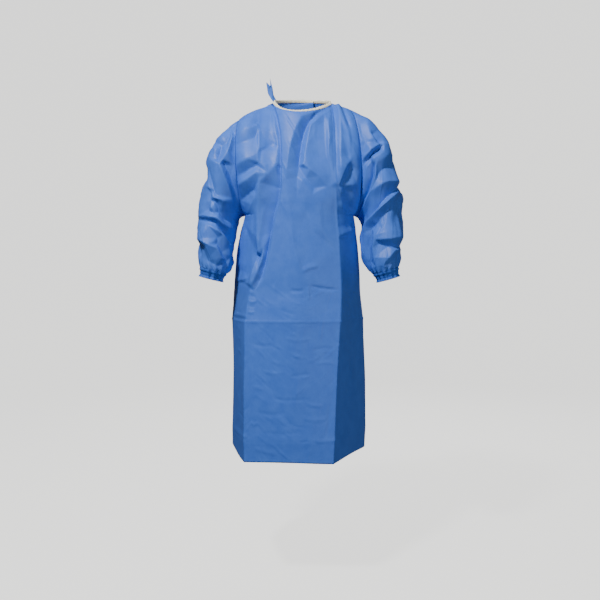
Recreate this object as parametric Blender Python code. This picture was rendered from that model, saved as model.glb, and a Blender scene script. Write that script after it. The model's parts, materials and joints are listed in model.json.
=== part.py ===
"""Surgical gown, worn, as closed cloth walls in metres. +Z is up and the front faces -Y.

The origin is in the middle of the neck opening, level with the shoulder seams at the neck,
where the wearer's shoulders and neck hold the gown.

Every panel is a grid of points on the middle of its cloth. Rows run down from the shoulder
or from the armhole, and columns run across. Neighbouring panels share their seam points, so
that they also share the direction in which the cloth is thickened, and then each panel draws
back from the seam by half of the seam gap.
"""

from collections import namedtuple

import bpy
import numpy as np

WALL = 0.0015
SEAM_GAP = 0.0003
BINDING_WALL = 0.0024
BINDING_WIDTH = 0.009

# The gown's own heights.
HEM_Z = -1.137
ARMPIT_Z = -0.372

# How finely each panel is divided.
ARMHOLE_ROWS = 12
LEFT_SHOULDER = (6, 3)
FRONT_MIDDLE = (7, 8)
RIGHT_SHOULDER = 7
LEFT_NECK = 5
RIGHT_NECK = 7
LOWER_HEIGHTS = (
    -0.395, -0.420, -0.450, -0.480, -0.510, -0.545, -0.580, -0.620, -0.660, -0.695, -0.710,
    -0.725, -0.770, -0.820, -0.870, -0.920, -0.970, -1.020, -1.060, -1.075, -1.090, HEM_Z,
)

# One row for each level section of the body. The creases are the two upright packing folds
# of the front, left and right as the picture shows them.
Section = namedtuple(
    "Section",
    "height left right side_y crease_l crease_l_y front_y crease_r crease_r_y back_y rounding",
)
BODY = (
    Section(-0.372, -0.181, 0.177, 0.000, -0.128, -0.118, -0.150, 0.115, -0.122, 0.115, 0.120),
    Section(-0.440, -0.200, 0.187, 0.005, -0.128, -0.125, -0.155, 0.121, -0.126, 0.110, 0.110),
    Section(-0.490, -0.208, 0.193, 0.008, -0.130, -0.130, -0.158, 0.123, -0.131, 0.112, 0.105),
    Section(-0.560, -0.214, 0.199, 0.015, -0.148, -0.135, -0.162, 0.126, -0.137, 0.125, 0.095),
    Section(-0.640, -0.219, 0.203, 0.020, -0.158, -0.142, -0.167, 0.126, -0.145, 0.140, 0.080),
    Section(-0.710, -0.222, 0.210, 0.020, -0.167, -0.150, -0.171, 0.122, -0.152, 0.150, 0.065),
    Section(-0.850, -0.221, 0.216, 0.022, -0.169, -0.163, -0.179, 0.114, -0.164, 0.160, 0.050),
    Section(-1.000, -0.225, 0.218, 0.025, -0.170, -0.173, -0.186, 0.107, -0.174, 0.168, 0.040),
    Section(HEM_Z, -0.226, 0.215, 0.025, -0.170, -0.182, -0.190, 0.101, -0.182, 0.175, 0.035),
)
BACK_CORNER_IN = 0.050
BACK_BULGE = 0.012

# Each of a section's eight sides is read at this many places. The side seams move behind the
# side corner by a share of a side, over a height below the armpit.
SIDE_PLACES = 60
SEAM_BEHIND = 0.28
SEAM_BEHIND_OVER = 0.10

# Above the armpit a row follows the armhole near its ends, over these shares of its length.
EDGE_REACH = 0.35
FRONT_HOLD = 0.40
BACK_HOLD = 0.45
CHEST_FULLNESS = 0.9

# The column between the left crease and the middle of the front follows the long drape fold
# that falls from the neck.
Column = namedtuple("Column", "height x")
DRAPE_COLUMN = (
    Column(0.003, -0.090), Column(-0.092, -0.071), Column(-0.172, -0.064),
    Column(-0.261, -0.061), Column(-0.318, -0.063), Column(-0.393, -0.081),
    Column(-0.481, -0.098), Column(-0.569, -0.117), Column(-0.640, -0.130),
    Column(-0.710, -0.135), Column(HEM_Z, -0.126),
)
LEFT_CREASE_TOP = -0.134
RIGHT_CREASE_TOP = 0.1046

# The hem hangs a little unevenly: places (x, y) where it is lifted, by how much, and how wide.
Lift = namedtuple("Lift", "x y height reach")
HEM_LIFTS = (Lift(-0.225, 0.030, 0.012, 0.090), Lift(0.100, -0.180, -0.006, 0.090))
HEM_LIFT_TOP = -0.71

# The shoulder seams and the neckline, from the viewer's left to right.
Point = namedtuple("Point", "x y z")
SHOULDER_LEFT = (
    Point(-0.198, 0.000, -0.055), Point(-0.150, -0.004, -0.024),
    Point(-0.112, -0.002, -0.010), Point(-0.090, 0.000, 0.002),
)
NECK_FRONT = (
    Point(-0.090, 0.000, 0.002), Point(-0.081, -0.030, -0.014), Point(-0.058, -0.056, -0.030),
    Point(-0.030, -0.071, -0.039), Point(0.004, -0.077, -0.042), Point(0.034, -0.073, -0.039),
    Point(0.064, -0.056, -0.030), Point(0.092, -0.028, -0.014), Point(0.1046, 0.000, 0.001),
)
SHOULDER_RIGHT = (
    Point(0.1046, 0.000, 0.001), Point(0.132, -0.003, -0.010), Point(0.158, 0.000, -0.020),
)
NECK_BACK_LEFT = (
    Point(-0.090, 0.000, 0.002), Point(-0.078, 0.034, 0.010), Point(-0.045, 0.058, 0.016),
    Point(0.000, 0.066, 0.018), Point(0.045, 0.058, 0.016),
)
NECK_BACK_RIGHT = (
    Point(0.1046, 0.000, 0.001), Point(0.092, 0.038, 0.009), Point(0.055, 0.064, 0.016),
    Point(0.000, 0.076, 0.018), Point(-0.050, 0.066, 0.015),
)

# How far each armhole bows outward, and how far forward and back it reaches.
Armhole = namedtuple("Armhole", "bow_front bow_back forward backward")
ARMHOLE_LEFT = Armhole(-0.0155, -0.010, 0.082, 0.076)
ARMHOLE_RIGHT = Armhole(0.0285, 0.020, 0.082, 0.076)

# The two halves of the back lap over each other. The under half stands inside the other.
LAP_LEFT = 0.085
LAP_RIGHT = -0.090
Space = namedtuple("Space", "height width")
LAP_SPACE = (Space(ARMPIT_Z, 0.008), Space(HEM_Z, 0.014))
LAP_SPACE_UPPER = 0.008
LAP_FADE = 0.16

# One row for each ring of a sleeve, from the armhole down to the gathers at the wrist.
Ring = namedtuple("Ring", "outer_x outer_z inner_x inner_z mid_y depth bow")
SLEEVE_LEFT = (
    Ring(-0.2190, -0.0710, -0.1910, -0.3745, 0.000, 0.090, -0.016),
    Ring(-0.2450, -0.0970, -0.2000, -0.3830, -0.001, 0.095, -0.014),
    Ring(-0.2750, -0.1280, -0.2050, -0.3960, -0.002, 0.098, -0.010),
    Ring(-0.2980, -0.1740, -0.2075, -0.4120, -0.004, 0.100, -0.005),
    Ring(-0.3055, -0.2100, -0.2090, -0.4290, -0.006, 0.100, -0.002),
    Ring(-0.3100, -0.2450, -0.2100, -0.4460, -0.009, 0.099, 0.0),
    Ring(-0.3135, -0.2850, -0.2110, -0.4630, -0.013, 0.097, 0.0),
    Ring(-0.3205, -0.3270, -0.2125, -0.4800, -0.018, 0.095, 0.0),
    Ring(-0.3270, -0.3700, -0.2145, -0.4960, -0.024, 0.092, 0.0),
    Ring(-0.3305, -0.4050, -0.2160, -0.5100, -0.031, 0.088, 0.0),
    Ring(-0.3310, -0.4390, -0.2180, -0.5225, -0.039, 0.083, 0.0),
    Ring(-0.3280, -0.4670, -0.2210, -0.5340, -0.048, 0.076, 0.0),
    Ring(-0.3250, -0.4950, -0.2255, -0.5440, -0.057, 0.068, 0.0),
    Ring(-0.3250, -0.5200, -0.2310, -0.5530, -0.065, 0.058, 0.0),
    Ring(-0.3190, -0.5400, -0.2360, -0.5620, -0.070, 0.046, 0.0),
)
SLEEVE_RIGHT = (
    Ring(0.1850, -0.0350, 0.1840, -0.3745, 0.000, 0.090, 0.026),
    Ring(0.2160, -0.0530, 0.1915, -0.3800, -0.001, 0.095, 0.022),
    Ring(0.2520, -0.0860, 0.1960, -0.3910, -0.002, 0.098, 0.016),
    Ring(0.2850, -0.1230, 0.1980, -0.4050, -0.004, 0.100, 0.009),
    Ring(0.3040, -0.1740, 0.1995, -0.4210, -0.006, 0.100, 0.004),
    Ring(0.3150, -0.2140, 0.2010, -0.4380, -0.009, 0.099, 0.0),
    Ring(0.3220, -0.2540, 0.2030, -0.4550, -0.013, 0.097, 0.0),
    Ring(0.3290, -0.3040, 0.2055, -0.4730, -0.018, 0.095, 0.0),
    Ring(0.3230, -0.3600, 0.2090, -0.4900, -0.024, 0.092, 0.0),
    Ring(0.3290, -0.4000, 0.2130, -0.5060, -0.031, 0.088, 0.0),
    Ring(0.3320, -0.4350, 0.2170, -0.5210, -0.039, 0.083, 0.0),
    Ring(0.3280, -0.4650, 0.2215, -0.5345, -0.048, 0.076, 0.0),
    Ring(0.3250, -0.4950, 0.2260, -0.5450, -0.057, 0.068, 0.0),
    Ring(0.3220, -0.5200, 0.2305, -0.5550, -0.065, 0.058, 0.0),
    Ring(0.3140, -0.5400, 0.2350, -0.5640, -0.070, 0.046, 0.0),
)

# The largest folds, drawn as the picture shows them from the front: points (x, z) down each
# fold, then its height (a trough is negative), its half width, and its side of the gown.
Fold = namedtuple("Fold", "side height width path")
FRONT, BACK = -1, 1
FOLDS = (
    Fold(FRONT, -0.009, 0.016, ((-0.086, 0.0), (-0.071, -0.092), (-0.062, -0.20), (-0.063, -0.318),
                                (-0.081, -0.393), (-0.098, -0.481), (-0.119, -0.569), (-0.149, -0.637))),
    Fold(FRONT, 0.006, 0.022, ((-0.036, -0.10), (-0.026, -0.22), (-0.030, -0.33), (-0.050, -0.43),
                               (-0.074, -0.52))),
    Fold(FRONT, -0.010, 0.018, ((0.030, -0.062), (0.006, -0.12), (-0.012, -0.20), (-0.018, -0.255))),
    Fold(FRONT, 0.007, 0.022, ((0.072, -0.08), (0.078, -0.15), (0.082, -0.22))),
    Fold(FRONT, 0.0035, 0.008, ((-0.133, -0.03), (-0.1285, -0.372), (-0.128, -0.497), (-0.148, -0.56),
                                (-0.167, -0.71), (-0.170, -0.95), (-0.170, HEM_Z))),
    Fold(FRONT, 0.0035, 0.008, ((0.108, -0.01), (0.112, -0.20), (0.121, -0.44), (0.126, -0.60),
                                (0.1145, -0.85), (0.101, HEM_Z))),
    Fold(FRONT, -0.006, 0.016, ((-0.200, -0.20), (-0.160, -0.15), (-0.130, -0.130))),
    Fold(FRONT, -0.005, 0.016, ((-0.200, -0.32), (-0.150, -0.27), (-0.085, -0.22))),
    Fold(FRONT, -0.009, 0.016, ((0.200, -0.225), (0.180, -0.28), (0.168, -0.36), (0.160, -0.40))),
    Fold(FRONT, -0.006, 0.014, ((0.160, -0.20), (0.134, -0.26), (0.122, -0.30))),
    Fold(FRONT, -0.008, 0.018, ((0.118, -0.440), (0.150, -0.425), (0.178, -0.415))),
    Fold(FRONT, -0.006, 0.018, ((-0.252, -0.20), (-0.225, -0.26), (-0.204, -0.32))),
    Fold(FRONT, -0.006, 0.018, ((-0.300, -0.37), (-0.262, -0.40), (-0.228, -0.44), (-0.206, -0.47))),
    Fold(FRONT, -0.006, 0.016, ((-0.304, -0.478), (-0.268, -0.505), (-0.238, -0.53))),
    Fold(FRONT, -0.005, 0.014, ((-0.296, -0.285), (-0.262, -0.31), (-0.226, -0.35))),
    Fold(FRONT, -0.007, 0.016, ((0.250, -0.165), (0.220, -0.185), (0.198, -0.225))),
    Fold(FRONT, -0.008, 0.018, ((0.305, -0.31), (0.266, -0.34), (0.236, -0.38), (0.214, -0.41))),
    Fold(FRONT, 0.005, 0.018, ((0.236, -0.205), (0.232, -0.265), (0.214, -0.33), (0.196, -0.37))),
    Fold(FRONT, 0.004, 0.018, ((0.232, -0.41), (0.232, -0.52))),
    Fold(BACK, -0.006, 0.016, ((-0.250, -0.18), (-0.215, -0.26), (-0.190, -0.33))),
    Fold(BACK, -0.006, 0.018, ((-0.300, -0.36), (-0.255, -0.40), (-0.212, -0.46))),
    Fold(BACK, -0.006, 0.016, ((0.245, -0.16), (0.212, -0.25), (0.192, -0.33))),
    Fold(BACK, -0.006, 0.018, ((0.300, -0.36), (0.255, -0.40), (0.214, -0.46))),
)
# The level packing folds run across the body at these heights.
PACKING_FOLDS = (-0.331, -0.710, -1.075)
PACKING_FOLD_HEIGHT = 0.0022
PACKING_FOLD_WIDTH = 0.009

# The packing folds cross the whole skirt below the tuck, and above it only the middle.
BODY_LEFT_LIMIT = -0.228
BODY_RIGHT_LIMIT = 0.220
SKIRT_TOP = -0.60
SKIRT_BLEND = 0.05
CHEST_HALF = 0.15

# A fold is at its full height where the cloth faces its side by more than this share.
FACING_FULL = 0.625

# The cuff bands, their gathers, and the elastic's pull.
CUFF_LENGTH = 0.030
CUFF_WAVES = 14
CUFF_COLUMNS = 5 * CUFF_WAVES
CUFF_WAVE_HEIGHT = 0.0032
CUFF_WAVE_STARTS = 0.33
CUFF_SHRINK = (1.00, 0.95, 0.86, 0.84, 0.88)

# The waist ties lie on the back, step over its free edge, narrow, and meet at a knot.
TIE_WIDTH = 0.028
TIE_WALL = 0.0012
TIE_Z = -0.438
TIE_CLEAR = 0.0007
TIE_SEWN = (-0.172, 0.160)
TIE_STEP_RUN = 0.030
TIE_STEP_CLEAR = 0.006
TIE_STEP_LIFT = 0.0010
TIE_PINCH_RUN = 0.035
TIE_PINCH_LIFT = 0.003
TIE_PINCHED = 0.4
COLUMN_APART = 0.004
KNOT_X = -0.010
KNOT_SIZE = (0.017, 0.0090, 0.018)
KNOT_CLEAR = 0.0006

# The ties' free ends fall from the knot, widen over a short run and lean apart.
TIE_END_LENGTH = 0.24
TIE_END_CLEAR = 0.0025
TIE_END_LIFT = 0.004
TIE_END_SPREAD_RUN = 0.05
TIE_END_NARROW = 0.35
TIE_END_FROM_MIDDLE = (0.006, 0.018)
TIE_END_LEANS = (("tie_end_left", -1.0, -0.10), ("tie_end_right", 1.0, 0.12))

# The neck tab stands beside the neck.
TAB_WIDTH = 0.019
TAB_LENGTH = 0.068
TAB_LEAN = (-0.30, 0.10, 0.95)
TAB_CLEAR = 0.0004
TAB_BOW = 0.006

# Edge faces are cut across by this order, so that they lie the same on both sides of a seam.
RIM_ORDER = (0.31, 0.53, 0.79)

ROUGHNESS = 0.55
SHARP_ANGLE = 0.6
CLOTH_COLOUR = (0.095, 0.230, 0.560, 1.0)
CUFF_COLOUR = (0.085, 0.205, 0.510, 1.0)
TIE_COLOUR = (0.110, 0.250, 0.580, 1.0)
BINDING_COLOUR = (0.860, 0.800, 0.560, 1.0)


def unit(vectors):
    """The same vectors at length one."""
    return vectors / np.maximum(np.linalg.norm(vectors, axis=-1, keepdims=True), 1e-12)


def curve_at(places, table_places, values):
    """A smooth curve through the table's values, read at some places."""
    table_places = np.asarray(table_places, float)
    values = np.asarray(values, float)
    places = np.clip(np.asarray(places, float), table_places[0], table_places[-1])
    slopes = np.gradient(values, table_places, axis=0)
    i = np.clip(np.searchsorted(table_places, places, side="right") - 1, 0, len(table_places) - 2)
    step = table_places[i + 1] - table_places[i]
    t = (places - table_places[i]) / step
    if values.ndim == 2:
        t = t[..., None]
        step = step[..., None]
    start = values[i] * (2 * t**3 - 3 * t**2 + 1) + slopes[i] * step * (t**3 - 2 * t**2 + t)
    end = values[i + 1] * (3 * t**2 - 2 * t**3) + slopes[i + 1] * step * (t**3 - t**2)
    return start + end


def by_height(rows, name, height):
    """A named column of a table, read at a height. The table runs downward."""
    depths = [-row.height for row in rows]
    return curve_at(-height, depths, [getattr(row, name) for row in rows])


def lengths_along(points):
    """The distance from the first point to each point, along the line."""
    steps = np.linalg.norm(np.diff(points, axis=0), axis=1)
    return np.concatenate([[0.0], np.cumsum(steps)])


def walk(points, places):
    """Points at given distances along a line."""
    along = lengths_along(points)
    return np.stack([np.interp(places, along, points[:, k]) for k in range(3)], axis=1)


def even(points, count):
    """The line again, as points evenly apart."""
    return walk(points, np.linspace(0.0, lengths_along(points)[-1], count))


def smooth_line(points, count=160):
    """A smooth line through a few points, as many points evenly apart."""
    points = np.array(points, float)
    along = lengths_along(points)
    return even(curve_at(np.linspace(0.0, along[-1], 400), along, points), count)


def body_corners(height):
    """The corners of the body's level section, from the left side round the front."""
    read = {name: float(by_height(BODY, name, height)) for name in Section._fields[1:]}
    middle = 0.5 * (read["crease_l"] + read["crease_r"])
    corners = (
        (read["left"], read["side_y"]),
        (read["crease_l"], read["crease_l_y"]),
        (middle, read["front_y"]),
        (read["crease_r"], read["crease_r_y"]),
        (read["right"], read["side_y"]),
        (read["right"] - BACK_CORNER_IN, read["back_y"]),
        (0.0, read["back_y"] + BACK_BULGE),
        (read["left"] + BACK_CORNER_IN, read["back_y"]),
    )
    return np.array(corners), read["rounding"]


def body_section(height):
    """The level section as a closed line. Its corners are rounded over a set length."""
    corners, rounding = body_corners(height)
    after = np.roll(corners, -1, axis=0)
    t = np.linspace(0.0, 1.0, SIDE_PLACES, endpoint=False)[None, :, None]
    ring = (corners[:, None] * (1 - t) + after[:, None] * t).reshape(-1, 2)
    spacing = np.linalg.norm(after - corners, axis=1).repeat(SIDE_PLACES) / SIDE_PLACES
    total = spacing.sum()
    centre = np.cumsum(spacing) - spacing
    smooth = np.empty_like(ring)
    for i, place in enumerate(centre):
        apart = np.abs(centre - place)
        apart = np.minimum(apart, total - apart)
        weight = np.clip(1.0 - apart / rounding, 0.0, None) * spacing
        smooth[i] = (ring * weight[:, None]).sum(axis=0) / weight.sum()
    for corner in (0, 4):
        side = corners[corner, 0]
        share = np.clip(smooth[:, 0] / side, 0.0, None)
        share = share / share.max()
        smooth[:, 0] *= 1.0 + (side / (side * (smooth[:, 0] / side).max()) - 1.0) * share**2
    return smooth


def half_section(height, back):
    """The front or back half of a section, between the side seams, left to right."""
    ring = body_section(height)
    fade = np.clip((ARMPIT_Z - height) / SEAM_BEHIND_OVER, 0.0, 1.0)
    behind = int(round(SEAM_BEHIND * fade * SIDE_PLACES))
    left = -behind
    right = 4 * SIDE_PLACES + behind
    if back:
        index = np.arange(left, right - len(ring) - 1, -1)
    else:
        index = np.arange(left, right + 1)
    flat = ring[index % len(ring)]
    return np.column_stack([flat, np.full(len(flat), height)])


def armhole_line(tip, pit, armhole, back):
    """The armhole's points from the shoulder tip down to the armpit."""
    angle = np.linspace(0.0, np.pi, ARMHOLE_ROWS + 1)
    down = ((1 - np.cos(angle)) / 2)[:, None]
    points = np.array(tip) * (1 - down) + np.array(pit) * down
    bow = armhole.bow_back if back else armhole.bow_front
    reach = armhole.backward if back else -armhole.forward
    points[:, 0] += bow * np.sin(angle)
    points[:, 1] += reach * np.sin(angle)
    return points


def upper_row(top, low, row, back):
    """A row above the armpit, between the top edge and the armpit's section."""
    count = len(top)
    s = np.linspace(0.0, 1.0, count)
    angle = row * np.pi / ARMHOLE_ROWS
    at_edge = (1 - np.cos(angle)) / 2
    inward = np.clip(np.minimum(s, 1 - s) / EDGE_REACH, 0.0, 1.0)
    inward = inward * inward * (3 - 2 * inward)
    v = at_edge * (1 - inward) + row / ARMHOLE_ROWS * inward
    forward = np.sin(v * np.pi / 2) ** (1.0 if back else CHEST_FULLNESS)
    points = top * (1 - v[:, None]) + low * v[:, None]
    points[:, 1] = top[:, 1] * (1 - forward) + low[:, 1] * forward
    return points


def hold_edge(points, target, reach, at_end):
    """Moves one end of a row to a seam point, and the points near it by less and less."""
    s = np.linspace(0.0, 1.0, len(points))
    if at_end:
        s = 1.0 - s
    weight = np.clip(1.0 - s / reach, 0.0, 1.0)
    weight = weight * weight * (3 - 2 * weight)
    end = points[-1] if at_end else points[0]
    return points + weight[:, None] * (np.array(target) - end)


def between(points, stops, counts):
    """Points along a line, evenly spaced between each pair of stops (given as distances)."""
    places = [stops[0]]
    for start, end, count in zip(stops, stops[1:], counts):
        places.extend(np.linspace(start, end, count + 1)[1:])
    return walk(points, np.array(places))


def distance_at_x(points, x):
    """How far along a line, running left to right, it reaches x."""
    return float(np.interp(x, points[:, 0], lengths_along(points)))


def front_stops(points, height, row):
    """The distances of the front's named columns along a row."""
    share = min(row / ARMHOLE_ROWS, 1.0)
    crease_l = by_height(BODY, "crease_l", height)
    crease_r = by_height(BODY, "crease_r", height)
    left = LEFT_CREASE_TOP * (1 - share) + crease_l * share
    right = RIGHT_CREASE_TOP * (1 - share) + crease_r * share
    drape = by_height(DRAPE_COLUMN, "x", height)
    end = lengths_along(points)[-1]
    centre = (drape + right) / 4
    inner = [distance_at_x(points, x) for x in (left, drape, centre, right)]
    return [0.0, *inner, end]


def make_front():
    """The front panel's grid, from side seam to side seam."""
    counts = (*LEFT_SHOULDER, *FRONT_MIDDLE, RIGHT_SHOULDER)
    top = np.concatenate(
        [smooth_line(SHOULDER_LEFT), smooth_line(NECK_FRONT)[1:], smooth_line(SHOULDER_RIGHT)[1:]]
    )
    low = half_section(ARMPIT_Z, False)
    top_even = even(top, 4 * SIDE_PLACES)
    low_even = even(low, 4 * SIDE_PLACES)
    left_hole = armhole_line(top[0], low[0], ARMHOLE_LEFT, False)
    right_hole = armhole_line(top[-1], low[-1], ARMHOLE_RIGHT, False)
    rows = [between(top, front_stops(top, 0.0, 0), counts)]
    for row in range(1, ARMHOLE_ROWS):
        line = upper_row(top_even, low_even, row, False)
        line = hold_edge(line, left_hole[row], FRONT_HOLD, False)
        line = hold_edge(line, right_hole[row], FRONT_HOLD, True)
        height = line[len(line) // 2, 2]
        rows.append(between(line, front_stops(line, height, row), counts))
    for height in (ARMPIT_Z, *LOWER_HEIGHTS):
        line = half_section(height, False)
        rows.append(between(line, front_stops(line, height, ARMHOLE_ROWS), counts))
    return np.array(rows)


def back_half(front, left):
    """One half of the back. Its first column is the side seam and its last is the free edge."""
    if left:
        shoulder = front[0, : sum(LEFT_SHOULDER) + 1]
        neck, hole, counts = NECK_BACK_LEFT, ARMHOLE_LEFT, (sum(LEFT_SHOULDER), LEFT_NECK)
        edge = LAP_LEFT
        seam = front[:, 0]
    else:
        shoulder = front[0, ::-1][: RIGHT_SHOULDER + 1]
        neck, hole, counts = NECK_BACK_RIGHT, ARMHOLE_RIGHT, (RIGHT_SHOULDER, RIGHT_NECK)
        edge = LAP_RIGHT
        seam = front[:, -1]
    columns = sum(counts) + 1
    top = np.concatenate([shoulder, even(smooth_line(neck), counts[1] + 1)[1:]])
    hole_line = armhole_line(seam[0], seam[ARMHOLE_ROWS], hole, True)
    low = even(back_row(ARMPIT_Z, edge, left), columns)
    rows = [top]
    for row in range(1, ARMHOLE_ROWS):
        line = upper_row(top, low, row, True)
        rows.append(hold_edge(line, hole_line[row], BACK_HOLD, False))
    for height in (ARMPIT_Z, *LOWER_HEIGHTS):
        rows.append(even(back_row(height, edge, left), columns))
    grid = np.array(rows)
    grid[ARMHOLE_ROWS:, 0] = seam[ARMHOLE_ROWS:]
    upper = grid[1:ARMHOLE_ROWS, 2:]
    upper[..., 1] += (-0.5 if left else 0.5) * LAP_SPACE_UPPER * lap_share(upper[..., 0])
    return grid


def lap_share(x):
    """How fully the space between the two halves of the back opens at x."""
    share = np.clip(1.0 - np.abs(x) / LAP_FADE, 0.0, 1.0)
    return share * share * (3 - 2 * share)


def back_row(height, edge, left):
    """A level row of one half of the back, from its side seam to its free edge."""
    line = half_section(height, True)
    if not left:
        line = line[::-1]
    sign = 1.0 if left else -1.0
    order = sign * line[:, 0]
    line = line[order <= sign * edge]
    space = by_height(LAP_SPACE, "width", height)
    line[:, 1] += lap_share(line[:, 0]) * (-space if left else space) / 2
    return line


def sleeve(front, back, rings, right):
    """A sleeve's grid. Its first ring is the armhole, round the front and up the back."""
    column = -1 if right else 0
    front_edge = front[: ARMHOLE_ROWS + 1, column]
    back_edge = back[1:ARMHOLE_ROWS, 0][::-1]
    grid = [np.concatenate([front_edge, back_edge])]
    angle = np.arange(2 * ARMHOLE_ROWS) * np.pi / ARMHOLE_ROWS
    for ring in rings:
        outer = np.array([ring.outer_x, ring.mid_y, ring.outer_z])
        inner = np.array([ring.inner_x, ring.mid_y, ring.inner_z])
        points = (outer + inner) / 2 + np.cos(angle)[:, None] * (outer - inner) / 2
        points[:, 1] -= ring.depth * np.sin(angle)
        points[:, 0] += ring.bow * np.abs(np.sin(angle))
        grid.append(points)
    return np.array(grid)


def distance_to_path(points, path):
    """How far points (x, z) are from a line of straight stretches."""
    best = np.full(len(points), np.inf)
    for start, end in zip(path, path[1:]):
        start = np.array(start)
        step = np.array(end) - start
        t = np.clip((points - start) @ step / (step @ step), 0.0, 1.0)
        best = np.minimum(best, np.linalg.norm(points - start - t[:, None] * step, axis=1))
    return best


def fold_height(points, normals):
    """How far the folds lift the cloth at each point."""
    seen = points[:, [0, 2]]
    lift = np.zeros(len(points))
    for fold in FOLDS:
        facing = np.clip(fold.side * normals[:, 1] / FACING_FULL, 0.0, 1.0)
        apart = distance_to_path(seen, fold.path)
        lift += fold.height * np.exp(-((apart / fold.width) ** 2)) * facing
    on_body = (points[:, 0] > BODY_LEFT_LIMIT) & (points[:, 0] < BODY_RIGHT_LIMIT)
    below = np.clip((SKIRT_TOP - points[:, 2]) / SKIRT_BLEND, 0.0, 1.0)
    inside = np.maximum(below, (np.abs(points[:, 0]) < CHEST_HALF).astype(float))
    for height in PACKING_FOLDS:
        apart = np.abs(points[:, 2] - height)
        lift += PACKING_FOLD_HEIGHT * np.exp(-apart / PACKING_FOLD_WIDTH) * on_body * inside
    return lift


Panel = namedtuple("Panel", "grid closed flip")


def face_corners(rows, columns, closed):
    """The corners of each square of a grid, counted along its rows."""
    index = np.arange(rows * columns).reshape(rows, columns)
    if closed:
        index = np.column_stack([index, index[:, 0]])
    corners = (index[:-1, :-1], index[1:, :-1], index[1:, 1:], index[:-1, 1:])
    return np.stack([c.ravel() for c in corners], axis=1)


def shared_normals(panels):
    """The outward direction at each point, the same for the points that panels share."""
    points = np.concatenate([panel.grid.reshape(-1, 3) for panel in panels.values()])
    _, merged = np.unique(np.round(points, 6), axis=0, return_inverse=True)
    merged = merged.ravel()
    total = np.zeros((merged.max() + 1, 3))
    start = 0
    for panel in panels.values():
        rows, columns = panel.grid.shape[:2]
        faces = face_corners(rows, columns, panel.closed) + start
        across = points[faces[:, 2]] - points[faces[:, 0]]
        other = points[faces[:, 3]] - points[faces[:, 1]]
        direction = np.cross(across, other) * (-1.0 if panel.flip else 1.0)
        for corner in range(4):
            np.add.at(total, merged[faces[:, corner]], direction)
        start += rows * columns
    return unit(total)[merged]


def with_folds(panels):
    """The panels again with their folds, and the outward directions at their points."""
    normals = shared_normals(panels)
    folded = {}
    start = 0
    for name, panel in panels.items():
        points = panel.grid.reshape(-1, 3)
        here = normals[start : start + len(points)]
        lifted = points + here * fold_height(points, here)[:, None]
        folded[name] = Panel(lifted.reshape(panel.grid.shape), panel.closed, panel.flip)
        start += len(points)
    normals = shared_normals(folded)
    split = {}
    start = 0
    for name, panel in folded.items():
        count = panel.grid.shape[0] * panel.grid.shape[1]
        split[name] = normals[start : start + count].reshape(panel.grid.shape)
        start += count
    return folded, split


def line_directions(points, closed):
    """The direction of a line at each of its points."""
    if closed:
        return unit(np.roll(points, -1, axis=0) - np.roll(points, 1, axis=0))
    return unit(np.gradient(points, axis=0))


def draw_back(panel, edges):
    """A panel's grid with its named seam edges drawn in by half of the seam gap."""
    grid = panel.grid
    moved = grid.copy()
    out = shared_normals({"alone": panel}).reshape(grid.shape)
    half = SEAM_GAP / 2 * (-1.0 if panel.flip else 1.0)
    if "top" in edges:
        moved[0] += half * unit(np.cross(line_directions(grid[0], panel.closed), out[0]))
    if "bottom" in edges:
        moved[-1] -= half * unit(np.cross(line_directions(grid[-1], panel.closed), out[-1]))
    if "first" in edges:
        moved[:, 0] += half * unit(np.cross(out[:, 0], line_directions(grid[:, 0], False)))
    if "last" in edges:
        moved[:, -1] -= half * unit(np.cross(out[:, -1], line_directions(grid[:, -1], False)))
    return moved


def rim(index, closed):
    """The points round the edge of a grid, as one loop or as two for a tube."""
    if closed:
        return [list(index[0]), list(index[-1][::-1])]
    top = list(index[0])
    right = list(index[1:, -1])
    bottom = list(index[-1, :-1][::-1])
    left = list(index[1:-1, 0][::-1])
    return [top + right + bottom + left]


def cloth_wall(name, grid, normals, wall, closed, flip, colour):
    """A closed wall of one thickness, half of it on each side of the grid."""
    rows, columns = grid.shape[:2]
    half = normals * wall / 2
    outside = (grid + half).reshape(-1, 3)
    inside = (grid - half).reshape(-1, 3)
    count = rows * columns
    squares = face_corners(rows, columns, closed)
    outer_faces = np.concatenate([squares[:, (0, 1, 2)], squares[:, (0, 2, 3)]])
    inner_faces = outer_faces[:, ::-1] + count
    faces = [tuple(face) for face in np.concatenate([outer_faces, inner_faces])]
    order = grid.reshape(-1, 3) @ RIM_ORDER
    for loop in rim(np.arange(count).reshape(rows, columns), closed):
        for here, there in zip(loop, loop[1:] + loop[:1]):
            faces += rim_faces(here, there, count, order[here] < order[there])
    if flip:
        faces = [face[::-1] for face in faces]
    points = np.concatenate([outside, inside])
    return add_object(name, points, faces, colour)


def rim_faces(here, there, count, forward):
    """The two faces across the wall's edge. Both sides of a seam are cut the same way."""
    if forward:
        return [(here, there, there + count), (here, there + count, here + count)]
    return [(here, there, here + count), (there, there + count, here + count)]


def add_object(name, points, faces, colour):
    """A mesh object with its own material."""
    mesh = bpy.data.meshes.new(name)
    faces = [tuple(int(corner) for corner in face) for face in faces]
    mesh.from_pydata([tuple(map(float, point)) for point in points], [], faces)
    mesh.update()
    material = bpy.data.materials.new(name)
    material.use_nodes = True
    shader = material.node_tree.nodes["Principled BSDF"]
    shader.inputs["Base Color"].default_value = colour
    shader.inputs["Roughness"].default_value = ROUGHNESS
    shader.inputs["Metallic"].default_value = 0.0
    mesh.materials.append(material)
    mesh.shade_smooth()
    mesh.set_sharp_from_angle(angle=SHARP_ANGLE)
    obj = bpy.data.objects.new(name, mesh)
    bpy.context.collection.objects.link(obj)
    return obj


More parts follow.
